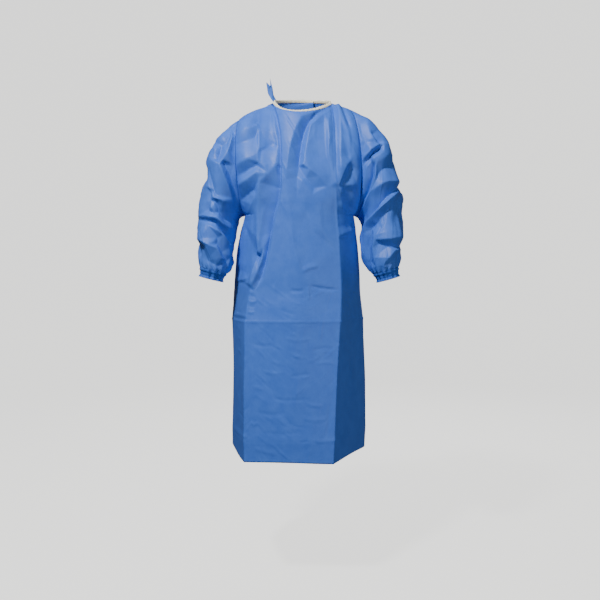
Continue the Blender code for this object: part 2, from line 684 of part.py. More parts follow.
def make_cuff(name, grid, right):
    """The gathered band below a sleeve, from the sleeve's last ring."""
    last = grid[-1]
    centre = last.mean(axis=0)
    span_x = last[0] - last[ARMHOLE_ROWS]
    across = unit(span_x)
    axis = unit(np.cross(across, (0.0, 1.0, 0.0)))
    if axis[2] > 0:
        axis = -axis
    half_wide = np.linalg.norm(span_x) / 2
    half_deep = np.ptp(last[:, 1]) / 2
    angle = np.arange(CUFF_COLUMNS) * 2 * np.pi / CUFF_COLUMNS
    wave = np.cos(CUFF_WAVES * angle)
    steps = np.linspace(0.0, 1.0, len(CUFF_SHRINK))
    rows = []
    for step, shrink in zip(steps, CUFF_SHRINK):
        lift = CUFF_WAVE_HEIGHT * wave * min(1.0, step / CUFF_WAVE_STARTS)
        wide = half_wide * shrink + lift
        deep = half_deep * shrink + lift
        row = centre + axis * (SEAM_GAP / 2 + CUFF_LENGTH * step)
        row = row + (np.cos(angle) * wide)[:, None] * across
        row = row - (np.sin(angle) * deep)[:, None] * np.array([0.0, 1.0, 0.0])
        rows.append(row)
    cuff = Panel(np.array(rows), True, right)
    normals = shared_normals({name: cuff}).reshape(cuff.grid.shape)
    normals[0] = unit(normals[0] - (normals[0] @ axis)[:, None] * axis)
    return cuff, normals, axis


def binding_path(folded, normals):
    """The neckline's points and directions, from the left back edge round the front."""
    left_back = folded["back_left"].grid[0, sum(LEFT_SHOULDER) :]
    left_out = normals["back_left"][0, sum(LEFT_SHOULDER) :]
    first = sum(LEFT_SHOULDER)
    last = first + sum(FRONT_MIDDLE)
    front = folded["front"].grid[0, first : last + 1]
    front_out = normals["front"][0, first : last + 1]
    right_back = folded["back_right"].grid[0, RIGHT_SHOULDER:]
    right_out = normals["back_right"][0, RIGHT_SHOULDER:]
    points = np.concatenate([left_back[::-1], front[1:], right_back[1:]])
    outward = np.concatenate([left_out[::-1], front_out[1:], right_out[1:]])
    return points, outward


def make_binding(folded, normals):
    """The neck binding: a narrow wall that stands on the neckline's edge."""
    points, outward = binding_path(folded, normals)
    rise = unit(np.cross(outward, line_directions(points, False)))
    low = points + rise * SEAM_GAP / 2
    high = points + rise * BINDING_WIDTH
    grid = np.stack([high, low])
    out = np.stack([outward, outward])
    return cloth_wall(
        "neck_binding", grid, out, BINDING_WALL, False, False, BINDING_COLOUR
    )


def strip(name, path, across, outward, width, wall, colour):
    """A flat tape along a path. across and outward give its directions at each point."""
    first = path - across * width / 2
    last = path + across * width / 2
    grid = np.stack([first, path, last])
    out = np.stack([outward, outward, outward])
    flip = np.dot(np.cross(path[1] - path[0], across[0]), outward[0]) > 0
    return cloth_wall(name, grid, out, wall, False, bool(flip), colour)


def row_at_height(grid, values, height):
    """The values (points or directions) of a grid, at a height between two of its rows."""
    heights = grid[:, 0, 2]
    i = int(np.searchsorted(-heights, -height)) - 1
    t = (heights[i] - height) / (heights[i] - heights[i + 1])
    return values[i] * (1 - t) + values[i + 1] * t


def on_panel(folded, normals, name, x, height, clear):
    """A point above a back panel's outside at (x, height), and the direction out of it."""
    grid = folded[name].grid
    row = row_at_height(grid, grid, height)
    out = row_at_height(grid, normals[name], height)
    order = np.argsort(row[:, 0])
    point = np.array([np.interp(x, row[order, 0], row[order, k]) for k in range(3)])
    point[0] = x
    direction = unit(np.array([np.interp(x, row[order, 0], out[order, k]) for k in range(3)]))
    return point + direction * clear, direction


def column_places(folded, name, start, end):
    """The places x of a panel's columns at the waist, and the two ends between which they lie."""
    grid = folded[name].grid
    places = np.sort(row_at_height(grid, grid, TIE_Z)[:, 0])
    inside = places[(places > start + COLUMN_APART) & (places < end - COLUMN_APART)]
    return np.concatenate([[start], inside, [end]])


def tie_grid(folded, normals, stations):
    """A waist tie's points and outward directions: three rows, a column for each station."""
    grid = []
    outward = []
    for panel, x, clear, half_width in stations:
        heights = (TIE_Z + half_width, TIE_Z, TIE_Z - half_width)
        found = [on_panel(folded, normals, panel, x, height, clear) for height in heights]
        grid.append([point for point, _ in found])
        outward.append([direction for _, direction in found])
    return np.array(grid).transpose(1, 0, 2), np.array(outward).transpose(1, 0, 2)


def make_ties(folded, normals):
    """The two waist ties, their knot and their free ends."""
    lie = WALL / 2 + TIE_WALL / 2 + TIE_CLEAR
    half = TIE_WIDTH / 2
    near_knot = KNOT_SIZE[0] + SEAM_GAP
    pinched = (lie + TIE_PINCH_LIFT, TIE_PINCHED * half)
    under = column_places(folded, "back_left", TIE_SEWN[0], LAP_RIGHT - TIE_STEP_RUN)
    over = column_places(folded, "back_right", LAP_RIGHT, KNOT_X - TIE_PINCH_RUN)
    left = [("back_left", x, lie, half) for x in under]
    left.append(("back_right", LAP_RIGHT - TIE_STEP_CLEAR, lie + TIE_STEP_LIFT, half))
    left += [("back_right", x, lie, half) for x in over]
    left.append(("back_right", KNOT_X - near_knot, *pinched))
    over = column_places(folded, "back_right", KNOT_X + TIE_PINCH_RUN, TIE_SEWN[1])
    right = [("back_right", x, lie, half) for x in over[::-1]]
    right.append(("back_right", KNOT_X + near_knot, *pinched))
    for name, stations in (("waist_tie_left", left), ("waist_tie_right", right)):
        grid, outward = tie_grid(folded, normals, stations)
        flip = name == "waist_tie_left"
        cloth_wall(name, grid, outward, TIE_WALL, False, flip, TIE_COLOUR)
    knot, _ = on_panel(folded, normals, "back_right", KNOT_X, TIE_Z, 0.0)
    knot[1] += WALL / 2 + KNOT_SIZE[1] + KNOT_CLEAR
    make_knot(knot)
    make_tie_ends(folded, normals, knot)


def make_knot(centre):
    """The knot, a flattened ball."""
    bpy.ops.mesh.primitive_uv_sphere_add(segments=14, ring_count=8, radius=1.0)
    obj = bpy.context.active_object
    points = np.array([vertex.co for vertex in obj.data.vertices])
    faces = [tuple(polygon.vertices) for polygon in obj.data.polygons]
    bpy.data.objects.remove(obj)
    add_object("waist_knot", points * KNOT_SIZE + centre, faces, TIE_COLOUR)


def make_tie_ends(folded, normals, knot):
    """The free ends, which hang from the knot just clear of the back."""
    top = knot[2] - KNOT_SIZE[2] - SEAM_GAP
    near, far = TIE_END_FROM_MIDDLE
    lie = WALL / 2 + TIE_WALL / 2 + TIE_END_CLEAR
    for name, side, lean in TIE_END_LEANS:
        grid = []
        outward = []
        for fall in np.linspace(0.0, TIE_END_LENGTH, 9):
            spread = min(1.0, fall / TIE_END_SPREAD_RUN)
            half = TIE_WIDTH / 2 * (TIE_END_NARROW + (1.0 - TIE_END_NARROW) * spread)
            middle = knot[0] + side * (near + (far - near) * spread) + lean * fall
            clear = lie + TIE_END_LIFT * (1.0 - spread)
            places = (middle - half, middle, middle + half)
            found = [on_panel(folded, normals, "back_right", x, top - fall, clear) for x in places]
            grid.append([point for point, _ in found])
            outward.append([direction for _, direction in found])
        cloth_wall(
            name, np.array(grid), np.array(outward), TIE_WALL, False, True, TIE_COLOUR
        )


def make_tab(folded, normals):
    """The neck tab. It is sewn on outside the binding and its free end stands up."""
    points, outward = binding_path(folded, normals)
    i = LEFT_NECK - 1
    along = unit(points[i + 1] - points[i - 1])
    out = unit(outward[i] * (1.0, 1.0, 0.0))
    base = points[i] + out * (BINDING_WALL / 2 + TIE_WALL / 2 + TAB_CLEAR)
    lean = unit(np.array(TAB_LEAN))
    rise = np.linspace(0.0, 1.0, 7)[:, None]
    path = base + lean * rise * TAB_LENGTH + out * TAB_BOW * np.sin(rise * np.pi)
    path[0] += out * TAB_CLEAR
    across = np.tile(unit(along - (along @ lean) * lean), (len(path), 1))
    face = unit(np.cross(across, np.gradient(path, axis=0)))
    face *= np.sign(face[0] @ out)
    strip("neck_tab", path, across, face, TAB_WIDTH, TIE_WALL, CLOTH_COLOUR)


def lift_hem(grid):
    """The grid with the lowest part of the skirt lifted or dropped where the hem is uneven."""
    share = np.clip((HEM_LIFT_TOP - grid[..., 2]) / (HEM_LIFT_TOP - HEM_Z), 0.0, 1.0) ** 2
    lifted = grid.copy()
    for lift in HEM_LIFTS:
        apart = (grid[..., 0] - lift.x) ** 2 + (grid[..., 1] - lift.y) ** 2
        lifted[..., 2] += lift.height * share * np.exp(-apart / lift.reach**2)
    return lifted


def build_gown():
    """Every piece of the gown."""
    front = lift_hem(make_front())
    back_left = lift_hem(back_half(front, True))
    back_right = lift_hem(back_half(front, False))
    back_left[ARMHOLE_ROWS:, 0] = front[ARMHOLE_ROWS:, 0]
    back_right[ARMHOLE_ROWS:, 0] = front[ARMHOLE_ROWS:, -1]
    panels = {
        "front": Panel(front, False, False),
        "back_left": Panel(back_left, False, True),
        "back_right": Panel(back_right, False, False),
        "sleeve_left": Panel(sleeve(front, back_left, SLEEVE_LEFT, False), True, False),
        "sleeve_right": Panel(sleeve(front, back_right, SLEEVE_RIGHT, True), True, True),
    }
    folded, normals = with_folds(panels)
    seams = {
        "front": ("top", "first", "last"),
        "back_left": ("top", "first"),
        "back_right": ("top", "first"),
        "sleeve_left": ("top", "bottom"),
        "sleeve_right": ("top", "bottom"),
    }
    for side in ("left", "right"):
        name = f"sleeve_{side}"
        cuff, cuff_normals, axis = make_cuff(f"cuff_{side}", folded[name].grid, side == "right")
        last = normals[name][-1]
        normals[name][-1] = unit(last - (last @ axis)[:, None] * axis)
        cloth_wall(
            f"cuff_{side}", cuff.grid, cuff_normals, WALL, True, cuff.flip, CUFF_COLOUR
        )
    for name, panel in folded.items():
        grid = draw_back(panel, seams[name])
        cloth_wall(name, grid, normals[name], WALL, panel.closed, panel.flip, CLOTH_COLOUR)
    make_binding(folded, normals)
    make_ties(folded, normals)
    make_tab(folded, normals)


def main():
    for obj in list(bpy.data.objects):
        bpy.data.objects.remove(obj)
    build_gown()


main()
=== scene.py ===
"""Surgical gown, worn: the finished look of every piece, in metres, in the frame of the solids.

The cloth is built from the same sections, armholes and sleeve rings as the solids, divided
finely, and then its folds are laid on it. Neighbouring panels share their seam points.
"""

import json
from collections import namedtuple
from functools import lru_cache

import bpy
import numpy as np
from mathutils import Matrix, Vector
from mathutils.geometry import delaunay_2d_cdt

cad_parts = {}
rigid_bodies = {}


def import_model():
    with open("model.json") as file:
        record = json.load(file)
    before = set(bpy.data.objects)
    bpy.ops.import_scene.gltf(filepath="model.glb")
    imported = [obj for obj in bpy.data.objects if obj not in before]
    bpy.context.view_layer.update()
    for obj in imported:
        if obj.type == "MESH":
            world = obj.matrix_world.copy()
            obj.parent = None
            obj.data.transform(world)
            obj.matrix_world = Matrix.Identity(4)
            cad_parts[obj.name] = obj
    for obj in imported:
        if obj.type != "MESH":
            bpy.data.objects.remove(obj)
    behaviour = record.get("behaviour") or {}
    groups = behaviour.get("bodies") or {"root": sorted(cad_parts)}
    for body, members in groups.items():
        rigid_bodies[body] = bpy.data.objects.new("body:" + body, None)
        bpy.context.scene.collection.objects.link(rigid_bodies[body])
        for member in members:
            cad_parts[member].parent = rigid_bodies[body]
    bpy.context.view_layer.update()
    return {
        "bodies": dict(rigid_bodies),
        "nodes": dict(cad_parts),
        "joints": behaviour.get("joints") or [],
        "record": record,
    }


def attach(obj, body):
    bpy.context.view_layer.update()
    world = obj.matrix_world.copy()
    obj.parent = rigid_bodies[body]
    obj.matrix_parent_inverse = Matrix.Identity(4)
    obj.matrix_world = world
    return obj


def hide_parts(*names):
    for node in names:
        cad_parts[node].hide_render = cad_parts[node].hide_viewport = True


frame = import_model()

# The camera stands at the photograph's viewing angle, level, at the middle of the gown.
CAMERA_PLACE = (0.0, -2.4, -0.55)
CAMERA_LENS = 43.6
CAMERA_SHIFT = -0.05
FLOOR_Z = -1.53

# The cloth and how finely it is divided. Each division of the solid is split into this many.
CLOTH_THICK = 0.00045
ACROSS = 5
BACK_ACROSS = 9
ARMHOLE_ROWS = 96
SKIRT_ROWS = 190
SLEEVE_ROWS = 150
RING_COLUMNS = 2 * ARMHOLE_ROWS

# The gown's own heights.
HEM_Z = -1.137
ARMPIT_Z = -0.372

LEFT_SHOULDER = (6, 3)
FRONT_MIDDLE = (7, 8)
RIGHT_SHOULDER = 7
LEFT_NECK = 5
RIGHT_NECK = 7
# One row for each level section of the body. The creases are the two upright packing folds
# of the front, left and right as the picture shows them.
Section = namedtuple(
    "Section",
    "height left right side_y crease_l crease_l_y front_y crease_r crease_r_y back_y rounding",
)
BODY = (
    Section(-0.372, -0.181, 0.177, 0.000, -0.128, -0.118, -0.150, 0.115, -0.122, 0.115, 0.120),
    Section(-0.440, -0.200, 0.187, 0.005, -0.128, -0.125, -0.155, 0.121, -0.126, 0.110, 0.110),
    Section(-0.490, -0.208, 0.193, 0.008, -0.130, -0.130, -0.158, 0.123, -0.131, 0.112, 0.105),
    Section(-0.560, -0.214, 0.199, 0.015, -0.148, -0.135, -0.162, 0.126, -0.137, 0.125, 0.095),
    Section(-0.640, -0.219, 0.203, 0.020, -0.158, -0.142, -0.167, 0.126, -0.145, 0.140, 0.080),
    Section(-0.710, -0.222, 0.210, 0.020, -0.167, -0.150, -0.171, 0.122, -0.152, 0.150, 0.065),
    Section(-0.850, -0.221, 0.216, 0.022, -0.169, -0.163, -0.179, 0.114, -0.164, 0.160, 0.050),
    Section(-1.000, -0.225, 0.218, 0.025, -0.170, -0.173, -0.186, 0.107, -0.174, 0.168, 0.040),
    Section(HEM_Z, -0.226, 0.215, 0.025, -0.170, -0.182, -0.190, 0.101, -0.182, 0.175, 0.035),
)
BACK_CORNER_IN = 0.050
BACK_BULGE = 0.012

# Each of a section's eight sides is read at this many places. The side seams move behind the
# side corner by a share of a side, over a height below the armpit.
SIDE_PLACES = 60
SEAM_BEHIND = 0.28
SEAM_BEHIND_OVER = 0.10

# Above the armpit a row follows the armhole near its ends, over these shares of its length.
EDGE_REACH = 0.35
FRONT_HOLD = 0.40
BACK_HOLD = 0.45
CHEST_FULLNESS = 0.9

# The column between the left crease and the middle of the front follows the long drape fold
# that falls from the neck.
Column = namedtuple("Column", "height x")
DRAPE_COLUMN = (
    Column(0.003, -0.090), Column(-0.092, -0.071), Column(-0.172, -0.064),
    Column(-0.261, -0.061), Column(-0.318, -0.063), Column(-0.393, -0.081),
    Column(-0.481, -0.098), Column(-0.569, -0.117), Column(-0.640, -0.130),
    Column(-0.710, -0.135), Column(HEM_Z, -0.126),
)
LEFT_CREASE_TOP = -0.134
RIGHT_CREASE_TOP = 0.1046

# The hem hangs a little unevenly: places (x, y) where it is lifted, by how much, and how wide.
Lift = namedtuple("Lift", "x y height reach")
HEM_LIFTS = (Lift(-0.225, 0.030, 0.012, 0.090), Lift(0.100, -0.180, -0.006, 0.090))
HEM_LIFT_TOP = -0.71

# The shoulder seams and the neckline, from the viewer's left to right.
Point = namedtuple("Point", "x y z")
SHOULDER_LEFT = (
    Point(-0.198, 0.000, -0.055), Point(-0.150, -0.004, -0.024),
    Point(-0.112, -0.002, -0.010), Point(-0.090, 0.000, 0.002),
)
NECK_FRONT = (
    Point(-0.090, 0.000, 0.002), Point(-0.081, -0.030, -0.014), Point(-0.058, -0.056, -0.030),
    Point(-0.030, -0.071, -0.039), Point(0.004, -0.077, -0.042), Point(0.034, -0.073, -0.039),
    Point(0.064, -0.056, -0.030), Point(0.092, -0.028, -0.014), Point(0.1046, 0.000, 0.001),
)
SHOULDER_RIGHT = (
    Point(0.1046, 0.000, 0.001), Point(0.132, -0.003, -0.010), Point(0.158, 0.000, -0.020),
)
NECK_BACK_LEFT = (
    Point(-0.090, 0.000, 0.002), Point(-0.078, 0.034, 0.010), Point(-0.045, 0.058, 0.016),
    Point(0.000, 0.066, 0.018), Point(0.045, 0.058, 0.016),
)
NECK_BACK_RIGHT = (
    Point(0.1046, 0.000, 0.001), Point(0.092, 0.038, 0.009), Point(0.055, 0.064, 0.016),
    Point(0.000, 0.076, 0.018), Point(-0.050, 0.066, 0.015),
)

# How far each armhole bows outward, and how far forward and back it reaches.
Armhole = namedtuple("Armhole", "bow_front bow_back forward backward")
ARMHOLE_LEFT = Armhole(-0.0155, -0.010, 0.082, 0.076)
ARMHOLE_RIGHT = Armhole(0.0285, 0.020, 0.082, 0.076)

# The two halves of the back lap over each other. The under half stands inside the other.
LAP_LEFT = 0.085
LAP_RIGHT = -0.090
Space = namedtuple("Space", "height width")
LAP_SPACE = (Space(ARMPIT_Z, 0.008), Space(HEM_Z, 0.014))
LAP_SPACE_UPPER = 0.008
LAP_FADE = 0.16

# One row for each ring of a sleeve, from the armhole down to the gathers at the wrist.
Ring = namedtuple("Ring", "outer_x outer_z inner_x inner_z mid_y depth bow")
SLEEVE_LEFT = (
    Ring(-0.2190, -0.0710, -0.1910, -0.3745, 0.000, 0.090, -0.016),
    Ring(-0.2450, -0.0970, -0.2000, -0.3830, -0.001, 0.095, -0.014),
    Ring(-0.2750, -0.1280, -0.2050, -0.3960, -0.002, 0.098, -0.010),
    Ring(-0.2980, -0.1740, -0.2075, -0.4120, -0.004, 0.100, -0.005),
    Ring(-0.3055, -0.2100, -0.2090, -0.4290, -0.006, 0.100, -0.002),
    Ring(-0.3100, -0.2450, -0.2100, -0.4460, -0.009, 0.099, 0.0),
    Ring(-0.3135, -0.2850, -0.2110, -0.4630, -0.013, 0.097, 0.0),
    Ring(-0.3205, -0.3270, -0.2125, -0.4800, -0.018, 0.095, 0.0),
    Ring(-0.3270, -0.3700, -0.2145, -0.4960, -0.024, 0.092, 0.0),
    Ring(-0.3305, -0.4050, -0.2160, -0.5100, -0.031, 0.088, 0.0),
    Ring(-0.3310, -0.4390, -0.2180, -0.5225, -0.039, 0.083, 0.0),
    Ring(-0.3280, -0.4670, -0.2210, -0.5340, -0.048, 0.076, 0.0),
    Ring(-0.3250, -0.4950, -0.2255, -0.5440, -0.057, 0.068, 0.0),
    Ring(-0.3250, -0.5200, -0.2310, -0.5530, -0.065, 0.058, 0.0),
    Ring(-0.3190, -0.5400, -0.2360, -0.5620, -0.070, 0.046, 0.0),
)
SLEEVE_RIGHT = (
    Ring(0.1850, -0.0350, 0.1840, -0.3745, 0.000, 0.090, 0.026),
    Ring(0.2160, -0.0530, 0.1915, -0.3800, -0.001, 0.095, 0.022),
    Ring(0.2520, -0.0860, 0.1960, -0.3910, -0.002, 0.098, 0.016),
    Ring(0.2850, -0.1230, 0.1980, -0.4050, -0.004, 0.100, 0.009),
    Ring(0.3040, -0.1740, 0.1995, -0.4210, -0.006, 0.100, 0.004),
    Ring(0.3150, -0.2140, 0.2010, -0.4380, -0.009, 0.099, 0.0),
    Ring(0.3220, -0.2540, 0.2030, -0.4550, -0.013, 0.097, 0.0),
    Ring(0.3290, -0.3040, 0.2055, -0.4730, -0.018, 0.095, 0.0),
    Ring(0.3230, -0.3600, 0.2090, -0.4900, -0.024, 0.092, 0.0),
    Ring(0.3290, -0.4000, 0.2130, -0.5060, -0.031, 0.088, 0.0),
    Ring(0.3320, -0.4350, 0.2170, -0.5210, -0.039, 0.083, 0.0),
    Ring(0.3280, -0.4650, 0.2215, -0.5345, -0.048, 0.076, 0.0),
    Ring(0.3250, -0.4950, 0.2260, -0.5450, -0.057, 0.068, 0.0),
    Ring(0.3220, -0.5200, 0.2305, -0.5550, -0.065, 0.058, 0.0),
    Ring(0.3140, -0.5400, 0.2350, -0.5640, -0.070, 0.046, 0.0),
)

# The packing folds cross the whole skirt below the tuck, and above it only the middle.
BODY_LEFT_LIMIT = -0.228
BODY_RIGHT_LIMIT = 0.220
SKIRT_TOP = -0.60
SKIRT_BLEND = 0.05
CHEST_HALF = 0.15

# The folds are laid on the cloth as soft ridges and troughs: a side of the gown, a height
# (below nothing for a trough), a half width, the direction of the steeper side, and a path
# (x, z) as seen from that side at the plane of the shoulders.
Fold = namedtuple("Fold", "side height width steep path")
FRONT, BACK = -1, 1
PATH_PLACES = 24
FOLD_REACH = 3.0
TENT_REACH = 1.9
TENT_ROUND = 0.06
TENT_FOOT = 0.10
END_FADE = 0.28
NECK_EDGE = -0.035
HEM_EDGE = -1.10
FACING_FULL = 0.625
CHEST_FOLDS = (
    Fold(FRONT, -0.0045, 0.006, (0, 0), ((0.107, -0.002), (0.116, -0.065), (0.117, -0.121),
        (0.120, -0.179), (0.120, -0.266))),
    Fold(FRONT, 0.0064, 0.009, (-0.3, 0), ((0.125, -0.015), (0.134, -0.071), (0.135, -0.154),
        (0.134, -0.253))),
    Fold(FRONT, 0.0048, 0.007, (0.3, 0), ((0.125, -0.002), (0.142, -0.042), (0.157, -0.088),
        (0.167, -0.154))),
    Fold(FRONT, -0.0045, 0.006, (0, 0), ((0.139, -0.012), (0.152, -0.045), (0.168, -0.081))),
    Fold(FRONT, 0.0083, 0.011, (0.5, -0.3), ((0.172, -0.177), (0.152, -0.210), (0.135, -0.246),
        (0.121, -0.283))),
    Fold(FRONT, -0.009, 0.012, (-0.3, 0), ((0.178, -0.197), (0.165, -0.230), (0.152, -0.266))),
    Fold(FRONT, 0.0045, 0.006, (0, -0.3), ((0.125, -0.273), (0.135, -0.291), (0.150, -0.307))),
    Fold(FRONT, -0.011, 0.015, (0, 0), ((0.167, -0.266), (0.165, -0.312), (0.168, -0.365))),
    Fold(FRONT, 0.0048, 0.01, (0.3, 0), ((0.135, -0.319), (0.142, -0.368), (0.148, -0.411))),
)
WAIST_FOLDS = (
    Fold(FRONT, -0.0037, 0.005, (0, 0), ((-0.150, -0.505), (-0.130, -0.503))),
    Fold(FRONT, 0.003, 0.004, (0, -0.4), ((-0.150, -0.493), (-0.129, -0.491))),
    Fold(FRONT, 0.0032, 0.005, (0.2, 0), ((-0.117, -0.335), (-0.129, -0.418), (-0.137, -0.491))),
    Fold(FRONT, 0.003, 0.004, (0, 0), ((-0.137, -0.329), (-0.139, -0.411), (-0.141, -0.484))),
    Fold(FRONT, 0.0032, 0.008, (0, 0), ((-0.155, -0.352), (-0.160, -0.451), (-0.167, -0.567))),
    Fold(FRONT, 0.004, 0.009, (-0.2, 0), ((-0.178, -0.402), (-0.185, -0.484), (-0.191, -0.567))),
    Fold(FRONT, 0.0053, 0.007, (-0.4, 0), ((-0.144, -0.510), (-0.158, -0.567), (-0.167, -0.606))),
    Fold(FRONT, 0.0064, 0.009, (0, -0.7), ((-0.221, -0.588), (-0.195, -0.583), (-0.172, -0.576))),
    Fold(FRONT, 0.0019, 0.0026, (0, -0.3), ((-0.170, -0.619), (-0.158, -0.624), (-0.147, -0.623))),
    Fold(FRONT, -0.0019, 0.0026, (0, 0), ((-0.172, -0.634), (-0.158, -0.637), (-0.145, -0.639))),
    Fold(FRONT, 0.0021, 0.0028, (0, -0.3), ((-0.172, -0.652), (-0.155, -0.657), (-0.144, -0.652))),
    Fold(FRONT, -0.0019, 0.0026, (0, 0), ((-0.170, -0.667), (-0.158, -0.672), (-0.148, -0.669))),
    Fold(FRONT, 0.0021, 0.0028, (0, -0.3), ((-0.172, -0.687), (-0.162, -0.692), (-0.148, -0.689))),
    Fold(FRONT, -0.003, 0.004, (0, 0), ((-0.219, -0.705), (-0.198, -0.712), (-0.173, -0.713))),
    Fold(FRONT, 0.003, 0.004, (0, -0.3), ((-0.218, -0.694), (-0.198, -0.699), (-0.177, -0.702))),
    Fold(FRONT, 0.0067, 0.009, (0, -0.7), ((0.127, -0.439), (0.145, -0.431), (0.164, -0.422),
        (0.183, -0.405))),
    Fold(FRONT, 0.0026, 0.006, (0.3, 0), ((-0.031, -0.402), (-0.013, -0.494), (0.006, -0.557))),
    Fold(FRONT, 0.0026, 0.006, (0, -0.3), ((0.006, -0.557), (0.033, -0.543), (0.062, -0.537))),
    Fold(FRONT, -0.003, 0.004, (0, 0), ((0.030, -0.603), (0.073, -0.611), (0.129, -0.616))),
    Fold(FRONT, -0.0024, 0.004, (0, 0), ((-0.036, -0.618), (-0.010, -0.620), (0.016, -0.618))),
    Fold(FRONT, 0.0024, 0.004, (0.3, 0), ((0.025, -0.603), (0.031, -0.649))),
)
SKIRT_FOLDS = (
    Fold(FRONT, 0.001, 0.004, (0, -0.3), ((-0.099, -0.850), (-0.076, -0.859), (-0.053, -0.867))),
    Fold(FRONT, -0.001, 0.0045, (0, 0), ((-0.033, -0.903), (0.000, -0.898), (0.036, -0.892))),
    Fold(FRONT, 0.001, 0.0045, (0, -0.3), ((-0.158, -0.933), (-0.139, -0.941), (-0.116, -0.946))),
    Fold(FRONT, -0.001, 0.004, (0, 0), ((-0.096, -0.976), (-0.033, -0.981), (0.033, -0.977))),
    Fold(FRONT, 0.001, 0.004, (0, -0.3), ((0.020, -0.994), (0.046, -0.999), (0.076, -1.000))),
    Fold(FRONT, 0.001, 0.004, (0.2, -0.2), ((-0.020, -0.966), (0.000, -0.953), (0.017, -0.938))),
    Fold(FRONT, 0.001, 0.005, (0, -0.3), ((-0.142, -1.144), (-0.116, -1.151), (-0.086, -1.159))),
    Fold(FRONT, -0.001, 0.004, (0, 0), ((-0.165, -0.791), (-0.125, -0.801), (-0.079, -0.798))),
    Fold(FRONT, 0.0009, 0.004, (0, -0.3), ((-0.056, -0.774), (-0.013, -0.784), (0.040, -0.778))),
    Fold(FRONT, -0.001, 0.0045, (0, 0), ((0.040, -0.817), (0.073, -0.809), (0.116, -0.811))),
    Fold(FRONT, 0.001, 0.004, (0, -0.3), ((-0.125, -0.883), (-0.092, -0.893), (-0.053, -0.890))),
    Fold(FRONT, 0.001, 0.004, (0, -0.3), ((0.053, -0.863), (0.083, -0.857), (0.116, -0.862))),
    Fold(FRONT, -0.0009, 0.005, (0, 0), ((-0.148, -1.019), (-0.099, -1.028), (-0.040, -1.024))),
    Fold(FRONT, 0.0009, 0.005, (0, -0.3), ((0.000, -1.038), (0.050, -1.048), (0.099, -1.042))),
    Fold(FRONT, -0.0009, 0.005, (0, 0), ((-0.125, -1.085), (-0.059, -1.093), (0.000, -1.085))),
    Fold(FRONT, 0.0013, 0.004, (0, -0.5), ((0.059, -1.119), (0.086, -1.118), (0.112, -1.116))),
    Fold(FRONT, 0.0019, 0.005, (0, -0.6), ((-0.221, -1.068), (-0.205, -1.085), (-0.185, -1.101))),
)

